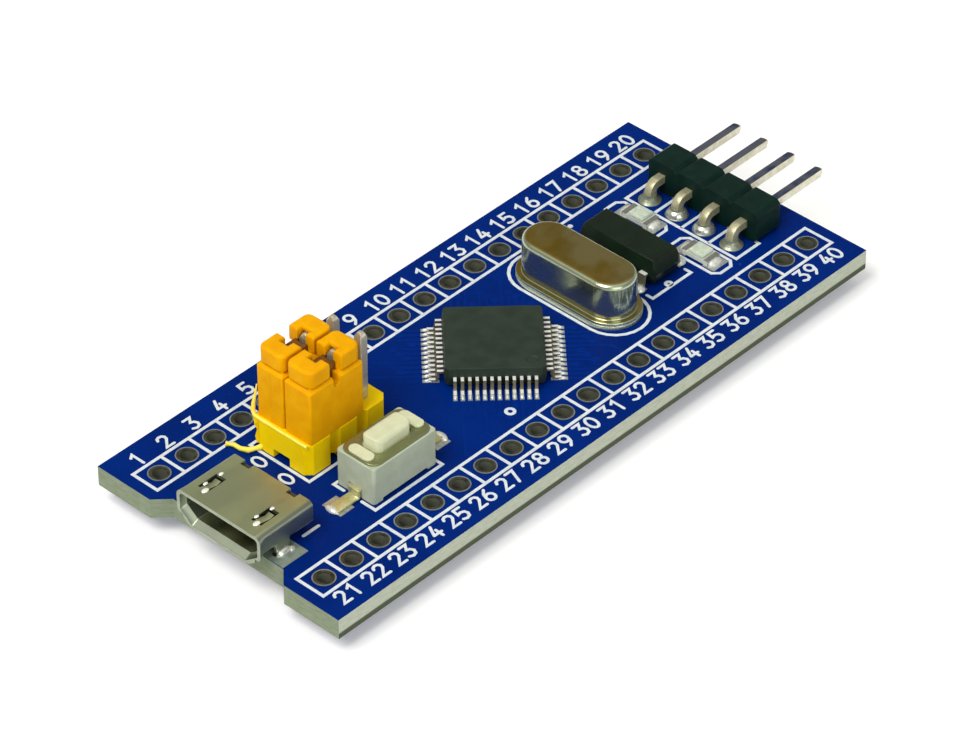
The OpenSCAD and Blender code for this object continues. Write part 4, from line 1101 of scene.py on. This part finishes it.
@dataclass
class WhitePrint(Assembly):
    """White ink on the component side: boxes, outlines and plain pin numbers.

    Attributes:
        plate: the board that carries it.
        ink_z: heights between which the ink lies.
        overlap: how much higher a stroke lies where it crosses another.
        line_w, digit_w: width of a line and of a digit's line.
        digit_h: height of a digit.
        digit_wide, digit_step: its width, and the way to the next one, as shares of that height.
        number_y: distance of the pin numbers from the middle.
        rows: lower and upper line of the boxes round each row of holes.
        outlines: lines round the parts.
        can: middle of the outline round the can crystal, and its half sizes.
        zeros: places of the plain numbers beside the boot header.
        dot, dot_r: place and radius of the dot at the watch crystal.
    """

    plate: BoardPlate
    ink_z: Point = (TOP, TOP + 0.02)
    overlap: float = 0.004
    line_w: float = 0.24
    digit_w: float = 0.21
    digit_h: float = 1.15
    digit_wide: float = 0.6
    digit_step: float = 0.9
    number_y: float = 9.75
    rows: tuple[Point, ...] = ((6.48, 8.82), (-8.82, -6.38))
    outlines: tuple[Stroke, ...] = (
        line((-22.1, -3.75), (-20.7, -3.75)),
        line((-22.1, 3.75), (-20.7, 3.75)),
        rectangle((-17.98, -9.96), (-0.22, 5.3)),
        line((-17.06, -2.5), (-17.06, -1.58), (-10.7, -1.58), (-10.7, -2.5)),
        line((-17.06, -4.15), (-17.06, -5.4), (-10.7, -5.4), (-10.7, -4.15)),
        oval(-3.6, -4.95, 0.3, 0.3),
        line((12.1, -3.3), (12.1, -3.85), (16.1, -3.85), (16.1, -3.3)),
        line((12.1, 3.9), (12.1, 4.45), (16.1, 4.45), (16.1, 3.9)),
        oval(14.1, -3.55, 0.22, 0.22),
        rectangle((17.0, 19.0), (-5.4, -0.75), 0.45),
        rectangle((17.0, 19.0), (0.6, 5.35), 0.45),
        rectangle((19.42, 21.85), (-5.15, 5.15)),
        *(line((19.54, y), (21.73, y)) for y in (-2.54, 0.0, 2.54)),
    )
    can: Bead = (9.1, 0.32, 2.45, 5.75)
    zeros: tuple[Point, ...] = ((-18.8, 3.65), (-18.8, 1.1))
    dot: Point = (14.3, 5.85)
    dot_r: float = 0.2

    def build(self) -> None:
        """Builds the whole print as one piece."""
        sketch = Sketch()
        for row in self.rows:
            self.ladder(sketch, row)
        for outline in (*self.outlines, self.stadium()):
            sketch.ribbon(outline, self.line_w, *self.ink_z)
        for index in range(self.plate.holes):
            x = self.plate.hole_x(index)
            self.number(sketch, index + 1, (x, self.number_y))
            self.number(sketch, index + 1 + self.plate.holes, (x, -self.number_y))
        for place in self.zeros:
            self.number(sketch, 0, place)
        sketch.disc(self.dot, self.dot_r, *self.ink_z)
        sketch.finish("white_print", Finishes.ink)

    def ladder(self, sketch: Sketch, row: Point) -> None:
        """Adds the box round one row of holes, with a line between each hole and the next.

        Args:
            sketch: where the box is added.
            row: lower and upper line of the box.
        """
        low, high = self.ink_z
        half = self.plate.holes / 2 * self.plate.pitch
        sketch.ribbon(rectangle((-half, half), row), self.line_w, low, high)
        inner = (row[0] + self.line_w / 2, row[1] - self.line_w / 2)
        for index in range(1, self.plate.holes):
            x = index * self.plate.pitch - half
            sketch.ribbon(line((x, inner[0]), (x, inner[1])), self.line_w, low, high + self.overlap)

    def stadium(self) -> Stroke:
        """Draws the outline round the can crystal.

        Returns:
            The closed line.
        """
        x, y, half_w, half_l = self.can
        run = half_l - half_w
        turns = [math.pi * step / 12 for step in range(13)]
        far = [(x + half_w * math.cos(a), y + run + half_w * math.sin(a)) for a in turns]
        near = [(x - half_w * math.cos(a), y - run - half_w * math.sin(a)) for a in turns]
        return Stroke(tuple(far + near), True)

    def number(self, sketch: Sketch, value: int, centre: Point) -> None:
        """Adds a plain number that reads along X.

        Args:
            sketch: where the number is added.
            value: the number.
            centre: its middle.
        """
        text, size = str(value), self.digit_h
        low, high = self.ink_z
        start = centre[0] - ((len(text) - 1) * self.digit_step + self.digit_wide) * size / 2
        for place, sign in enumerate(text):
            corner = (start + place * self.digit_step * size, centre[1] - size / 2)
            for layer, stroke in enumerate(DIGITS[sign]):
                points = tuple((corner[0] + x * size, corner[1] + y * size) for x, y in stroke.points)
                drawn = Stroke(points, stroke.closed)
                sketch.ribbon(drawn, self.digit_w, low, high + layer * self.overlap)


@dataclass
class UsbSocket(Assembly):
    """The socket: stamped shell, plastic block, contacts and the solder that holds them.

    Attributes:
        y: place of its middle.
        leg: place of the far leg's solder from there.
        leg_drop, run_drop: half sizes of the solder round a leg, and of what ran out beside it.
        run: how far that lies from the leg.
        tails, tail_pitch: place of the contacts' feet along X, and their pitch.
        tail_drop: half sizes of the solder on a foot.
        roof: height of the shell's upper side.
        bosses: bosses of the spring fingers, painted near white as glints: place and half sizes in plan.
        boss_h, boss_sunk: half height of a boss, and how far its foot lies in the sheet.
    """

    rounded = (Rounded("usb_shell", "socket_shell", Finishes.usb_steel, 0.04),)
    worn = {Finishes.usb_black: ("usb_insulator",), Finishes.gold: ("usb_contacts",)}
    y: float = -0.2
    leg: Point = (-24.1, 3.82)
    leg_drop: Triple = (0.72, 0.34, 0.42)
    run_drop: Triple = (0.35, 0.3, 0.3)
    run: Point = (0.5, 0.1)
    tails: float = -20.45
    tail_pitch: float = 0.65
    tail_drop: Triple = (0.35, 0.17, 0.16)
    roof: float = 4.1
    bosses: tuple[Bead, ...] = (
        (-25.25, 2.02, 0.3, 0.2), (-24.75, 2.5, 0.2, 0.13), (-23.38, 2.45, 0.2, 0.13),
        (-25.28, -2.74, 0.3, 0.2), (-24.8, -2.25, 0.2, 0.13), (-23.55, -2.43, 0.2, 0.13),
    )
    boss_h: float = 0.07
    boss_sunk: float = 0.02

    def build(self) -> None:
        """Builds the solder at legs and contacts, the bosses, and the shell."""
        drops = []
        for side in (-1, 1):
            x, y = self.leg[0], self.y + side * self.leg[1]
            drops.append(Drop((x, y), self.leg_drop))
            drops.append(Drop((x + self.run[0], y + side * self.run[1]), self.run_drop))
        for index in range(-2, 3):
            drops.append(Drop((self.tails, self.y + index * self.tail_pitch), self.tail_drop))
        solder("socket_solder", Finishes.solder, drops)
        sketch = Sketch()
        for x, y, along, across in self.bosses:
            sketch.blob((x, y, self.roof), (along, across, self.boss_h), self.roof - self.boss_sunk)
        sketch.finish("socket_bosses", Finishes.burnished)
        super().build()


@dataclass
class Crystals(Assembly):
    """The can crystal and the watch crystal.

    Attributes:
        watch: place of the watch crystal's middle.
        foot: distance of its feet from there, along X and Y.
        drop: half sizes of the solder on a foot.
    """

    rounded = (
        Rounded("crystal_can", "drawn_can", Finishes.can, 0.07, 3),
        Rounded("crystal_base", "can_base", Finishes.flange, 0.05),
        Rounded("watch_crystal_body", "watch_moulding", Finishes.watch, 0.09),
    )
    worn = {
        Finishes.lead: ("watch_crystal_leads", "crystal_leads"),
        Finishes.seal: ("crystal_seals",),
        Finishes.spring: ("crystal_clips",),
        Finishes.quartz: ("crystal_blank",),
    }
    watch: Point = (14.3, 0.3)
    foot: Point = (2.12, 2.75)
    drop: Triple = (0.46, 0.52, 0.36)

    def build(self) -> None:
        """Builds both bodies, and the solder at the feet."""
        super().build()
        (x, y), (dx, dy) = self.watch, self.foot
        spots = [(x + east * dx, y + north * dy) for east in (-1, 1) for north in (-1, 1)]
        solder("watch_solder", Finishes.milky_solder, [Drop(spot, self.drop) for spot in spots])


@dataclass
class PinHeaders(Assembly):
    """The debug header and the boot header, with the flash that the boot header's mould left.

    Attributes:
        whisker: thread of flash on the board, each place with its radius.
        ridge: flash along the upper edge of the boot header's outer face.
        lump: flash that fills that face's far corner.
        leg_x: place of the debug legs along X.
        full_legs: places along Y of the debug legs that hold the most solder.
        drop: half sizes of that solder.
    """

    rounded = (
        Rounded("debug_header_body", "debug_strip", Finishes.black, 0.07),
        Rounded("boot_header_body", "boot_block", Finishes.yellow, 0.07, 3),
        Rounded("boot_header_pins", "boot_posts", Finishes.pin, 0.04),
        Rounded("debug_header_pins", "debug_posts", Finishes.debug_pin, 0.05,
                split_x=23.0, beyond=Finishes.leg),
    )
    worn = {Finishes.dull_solder: ("solder_joints",)}
    whisker: tuple[Bead, ...] = (
        (-17.3, 4.4, 2.05, 0.2), (-17.84, 4.49, 1.82, 0.2), (-18.2, 4.68, 1.78, 0.16),
        (-18.6, 4.87, 1.8, 0.21), (-18.81, 5.38, 1.78, 0.17), (-18.83, 5.98, 1.78, 0.17),
        (-18.95, 6.2, 1.76, 0.13), (-19.14, 6.46, 1.8, 0.2),
    )
    ridge: tuple[Bead, ...] = (
        (-17.36, 5.1, 6.6, 0.05), (-17.46, 5.16, 5.9, 0.09), (-17.58, 5.25, 5.1, 0.14),
        (-17.64, 5.28, 4.5, 0.17), (-17.68, 5.1, 4.18, 0.16), (-17.7, 4.5, 4.13, 0.13),
        (-17.7, 3.5, 4.15, 0.15), (-17.71, 2.6, 4.12, 0.12), (-17.7, 1.7, 4.14, 0.14),
        (-17.71, 0.8, 4.12, 0.12), (-17.7, 0.2, 4.13, 0.12),
    )
    lump: tuple[Bead, ...] = (
        (-17.45, 5.0, 4.12, 0.3), (-17.45, 5.0, 3.9, 0.33), (-17.45, 5.0, 3.4, 0.3),
        (-17.42, 4.95, 2.85, 0.16), (-17.45, 4.98, 2.3, 0.26), (-17.42, 4.95, 1.85, 0.22),
    )
    leg_x: float = 20.45
    full_legs: Point = (-1.27, 1.27)
    drop: Triple = (0.82, 0.8, 0.62)

    def build(self) -> None:
        """Builds blocks and pins, the flash and the solder."""
        super().build()
        threads("boot_flash", Finishes.flash, self.whisker, self.ridge)
        threads("boot_corner", Finishes.yellow, self.lump)
        solder("debug_solder", Finishes.solder, [Drop((self.leg_x, y), self.drop) for y in self.full_legs])


@dataclass
class JumperCap(Assembly):
    """One pull-off jumper cap with its contact clip.

    Attributes:
        body: the body that it rides on.
        stem: start of its nodes' names.
        seam: line that the mould left on its outer face, each place with its radius.
        round_w, crown_w: rounding of its edges and of its top.
    """

    body: Body
    stem: str
    seam: tuple[Bead, ...] = ()
    round_w: float = 0.12
    crown_w: float = 0.28

    def build(self) -> None:
        """Builds the cap with soft edges, and its seam."""
        cap = Rounded(f"{self.stem}_jumper_cap", f"{self.stem}_cap", Finishes.orange, self.round_w, 3,
                      self.crown_w, body=self.body)
        cap.build()
        if self.seam:
            threads(f"{self.stem}_seam", Finishes.orange, self.seam, body=self.body)

    def dress(self) -> None:
        """Gives the clip its finish."""
        dress(Finishes.clip, f"{self.stem}_jumper_clip")


@dataclass
class ResetSwitch(Assembly):
    """The reset switch: housing, cover, rivets, button and terminals.

    Attributes:
        middle: place of its middle.
        foot: distance of its feet from there.
        drop: half sizes of the solder on a foot.
        pressed: share of the contact dome's height that is left under the pressed key; not used.
        strip_w, strip_t: width and thickness of a terminal.
        strip_y: how far the terminal at the socket's end stands off the middle.
        strip_top: height of its upper side in the housing.
        strip_round: rounding of its edges.
        root, bend, tip: distances from the middle of its inner end, its bend and its tip.
    """

    rounded = (
        Rounded("reset_housing", "reset_case", Finishes.grey, 0.07),
        Rounded("reset_rivets", "reset_rivet_heads", Finishes.ivory, 0.09, 3),
        Rounded("reset_cover", "reset_lid", Finishes.cover, 0.05),
        Rounded("reset_plunger", "reset_key", Finishes.ivory, 0.1, 3, body=Body.RESET),
    )
    middle: Point = (-13.85, -3.35)
    foot: float = 5.14
    drop: Triple = (0.34, 0.6, 0.24)
    pressed: float = 0.375
    strip_w: float = 0.96
    strip_y: float = -0.12
    strip_t: float = 0.2
    strip_top: float = 2.4
    strip_round: float = 0.06
    root: float = 1.4
    bend: float = 3.1
    tip: float = 5.2

    def build(self) -> None:
        """Builds the mouldings, the solder at the feet, the terminals and the contact."""
        super().build()
        x, y = self.middle
        feet = [Drop((x + side * self.foot, y), self.drop) for side in (-1, 1)]
        solder("reset_solder", Finishes.milky_solder, feet)
        self.strips()
        self.contact()

    def strips(self) -> None:
        """Builds both terminals, bent down close to the housing and soldered at the tip."""
        low, high, t = SEAT, self.strip_top, self.strip_t
        profile = (
            (self.root, high - t), (self.bend, high - t), (self.bend, low), (self.tip, low),
            (self.tip, low + t), (self.bend + t, low + t), (self.bend + t, high), (self.root, high),
        )
        sketch = Sketch()
        sketch.slab(profile, -self.strip_w / 2, self.strip_w / 2)
        place = Matrix.Translation((self.middle[0], self.middle[1] - self.strip_y, 0.0))
        upright = Matrix.Rotation(math.pi / 2, 4, "X")
        bmesh.ops.transform(sketch.bm, matrix=place @ upright, verts=sketch.bm.verts)
        twin = bmesh.ops.duplicate(sketch.bm, geom=sketch.whole())["geom"]
        bmesh.ops.rotate(
            sketch.bm, cent=(*self.middle, 0.0), matrix=Matrix.Rotation(math.pi, 3, "Z"),
            verts=only(BMVert, twin),
        )
        sketch.round_edges(self.strip_round, 3)
        sketch.finish("reset_strips", Finishes.brass, ("reset_terminals",))

    def contact(self) -> None:
        """Builds the domed contact."""
        dome = Sketch()
        dome.node_copy("reset_dome")
        piece = dome.finish("reset_contact", Finishes.spring, ("reset_dome",))
        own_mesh(piece)


@dataclass
class ChipLight(Assembly):
    """One chip light with the solder at its ends.

    Attributes:
        stem: start of its nodes' names.
        place: place of its middle.
        reach: distance of the solder from that middle.
        drop: half sizes of the solder.
        round_w: rounding of its lens.
    """

    stem: str
    place: Point
    reach: float = 1.25
    drop: Triple = (0.66, 0.42, 0.36)
    round_w: float = 0.05

    def build(self) -> None:
        """Builds the solder at both ends, and the lens with rounded edges."""
        x, y = self.place
        ends = [Drop((x, y + side * self.reach), self.drop) for side in (-1, 1)]
        solder(f"{self.stem}_solder", Finishes.milky_solder, ends)
        Rounded(f"{self.stem}_lens", f"{self.stem}_dome", Finishes.led_lens, self.round_w).build()

    def dress(self) -> None:
        """Gives carrier and ends their finish."""
        dress(Finishes.led_base, f"{self.stem}_base")
        dress(Finishes.chip_end, f"{self.stem}_terminals")


class Underside(Assembly):
    """The regulator and the chips below the board."""

    rounded = (Rounded("regulator_body", "regulator_moulding", Finishes.resin, 0.05),)
    worn = {
        Finishes.lead: ("regulator_leads",),
        Finishes.chip_end: ("capacitor_ends", "resistor_ends"),
        Finishes.capacitor: ("capacitor_bodies",),
        Finishes.resistor: ("resistor_bodies",),
    }


@dataclass(frozen=True)
class Lamp:
    """A soft square lamp that faces the board.

    Attributes:
        name: name of the lamp.
        place, size: its place and its side, in metres.
        power: its power in watts.
        tint: its linear colour.
    """

    name: str
    place: Triple
    size: float
    power: float
    tint: Triple

    def build(self) -> None:
        """Hangs the lamp."""
        data = bpy.data.lights.new(self.name, "AREA")
        data.shape, data.size, data.energy, data.color = "SQUARE", self.size, self.power, self.tint
        lamp = placed(self.name, data)
        lamp.location = self.place
        lamp.rotation_euler = (-Vector(self.place)).to_track_quat("-Z", "Y").to_euler()


@dataclass
class Studio:
    """Camera, floor and light.

    Attributes:
        eye_mm: place of the camera.
        aim_mm: point that it looks at.
        lens_mm, sensor_mm: focal length, and width of the sensor.
        floor_z_mm: height of the floor, at the tips of the pins.
        floor_half_m: half the side of the floor.
        floor_grey: its linear grey.
        floor_glow: how much brighter it looks to the camera.
        room: linear colours of the room, each from a height between horizon and zenith.
        room_strength: strength of its light.
        lamps: the lamps.
    """

    eye_mm: Triple = (-185.73, -172.54, 206.24)
    aim_mm: Triple = (-1.407, -0.593, 1.6)
    lens_mm: float = 177.65
    sensor_mm: float = 36.0
    floor_z_mm: float = -1.4
    floor_half_m: float = 6.0
    floor_grey: float = 0.84
    floor_glow: float = 0.2
    room: tuple[tuple[float, Triple], ...] = (
        (0.0, (0.9, 0.9, 0.9)), (0.2, (0.5, 0.49, 0.46)), (0.6, (0.3, 0.29, 0.25)), (0.95, (0.9, 0.9, 0.9)),
    )
    room_strength: float = 0.9
    lamps: tuple[Lamp, ...] = (
        Lamp("key", (-0.5, 0.03, 0.79), 0.5, 6.5, (1.0, 0.98, 0.95)),
        Lamp("fill", (-0.35, -0.8, 0.4), 0.6, 2.6, (0.92, 1.0, 0.99)),
    )

    def camera(self) -> None:
        """Puts the camera where the photograph was taken from."""
        data = bpy.data.cameras.new("camera")
        data.lens, data.sensor_width, data.sensor_fit = self.lens_mm, self.sensor_mm, "HORIZONTAL"
        data.clip_start, data.clip_end = 0.01, 50.0
        eye, aim = Vector(self.eye_mm) * MM, Vector(self.aim_mm) * MM
        camera = placed("camera", data)
        camera.location = eye
        camera.rotation_euler = (aim - eye).to_track_quat("-Z", "Y").to_euler()
        bpy.context.scene.camera = camera

    def floor(self) -> None:
        """Lays a pale floor, white to the eye, that keeps the shadow."""
        sketch = bmesh.new()
        bmesh.ops.create_grid(sketch, x_segments=1, y_segments=1, size=self.floor_half_m)
        bmesh.ops.translate(sketch, vec=(0, 0, self.floor_z_mm * MM), verts=sketch.verts)
        mesh = bpy.data.meshes.new("floor")
        sketch.to_mesh(mesh)
        sketch.free()
        material, graph, shader, _ = new_material("pale_floor")
        seen = graph.node("ShaderNodeLightPath").outputs
        plain = graph.math("MAXIMUM", seen["Is Camera Ray"], seen["Is Glossy Ray"])
        plain = graph.math("MAXIMUM", plain, seen["Is Transmission Ray"])
        graph.fill(shader, {
            "Base Color": (*(self.floor_grey,) * 3, 1.0),
            "Roughness": 0.9,
            "Specular IOR Level": 0.1,
            "Emission Color": (1.0, 1.0, 1.0, 1.0),
            "Emission Strength": graph.math("MULTIPLY", plain, self.floor_glow),
        })
        mesh.materials.append(material)
        placed("floor", mesh)

    def world(self) -> None:
        """Surrounds the board with a soft room: pale at the horizon and overhead, dimmer between."""
        world = bpy.data.worlds.new("room")
        world.use_nodes = True
        world.node_tree.nodes.clear()
        graph = Graph(world.node_tree)
        height = graph.axes(graph.node("ShaderNodeTexCoord").outputs["Generated"])[2]
        ramp = graph.node("ShaderNodeValToRGB")
        colour = graph.fill(ramp, {0: height})["Color"]
        stops = ramp.color_ramp.elements
        for spare in range(len(self.room) - len(stops)):
            stops.new(0.4 + spare / 10)
        for stop, (at, tint) in zip(stops, self.room):
            stop.position, stop.color = at, (*tint, 1.0)
        light = graph.node("ShaderNodeBackground")
        shine = graph.fill(light, {"Color": colour, "Strength": self.room_strength})["Background"]
        graph.fill(graph.node("ShaderNodeOutputWorld"), {"Surface": shine})
        bpy.context.scene.world = world

    def build(self) -> None:
        """Sets up the whole studio."""
        self.camera()
        self.floor()
        self.world()
        for lamp in self.lamps:
            lamp.build()
        bpy.context.scene.view_settings.view_transform = "Standard"


def main() -> None:
    """Builds every sub-assembly in order."""
    logging.basicConfig(level=logging.INFO, format="%(name)s: %(message)s")
    Studio().build()
    chip = Controller()
    plate = BoardPlate(chip)
    seam = ((-17.42, 3.72, 4.3, 0.05), (-17.42, 3.72, 8.2, 0.05))
    for assembly in (
        plate, WhitePrint(plate), UsbSocket(), chip, Crystals(), PinHeaders(),
        JumperCap(Body.BOOT0, "boot0", seam), JumperCap(Body.BOOT1, "boot1"), ResetSwitch(),
        ChipLight("power_led", (18.0, -3.1)), ChipLight("user_led", (18.3, 2.8)), Underside(),
    ):
        assembly.build()
        assembly.dress()


if __name__ == "__main__":
    main()
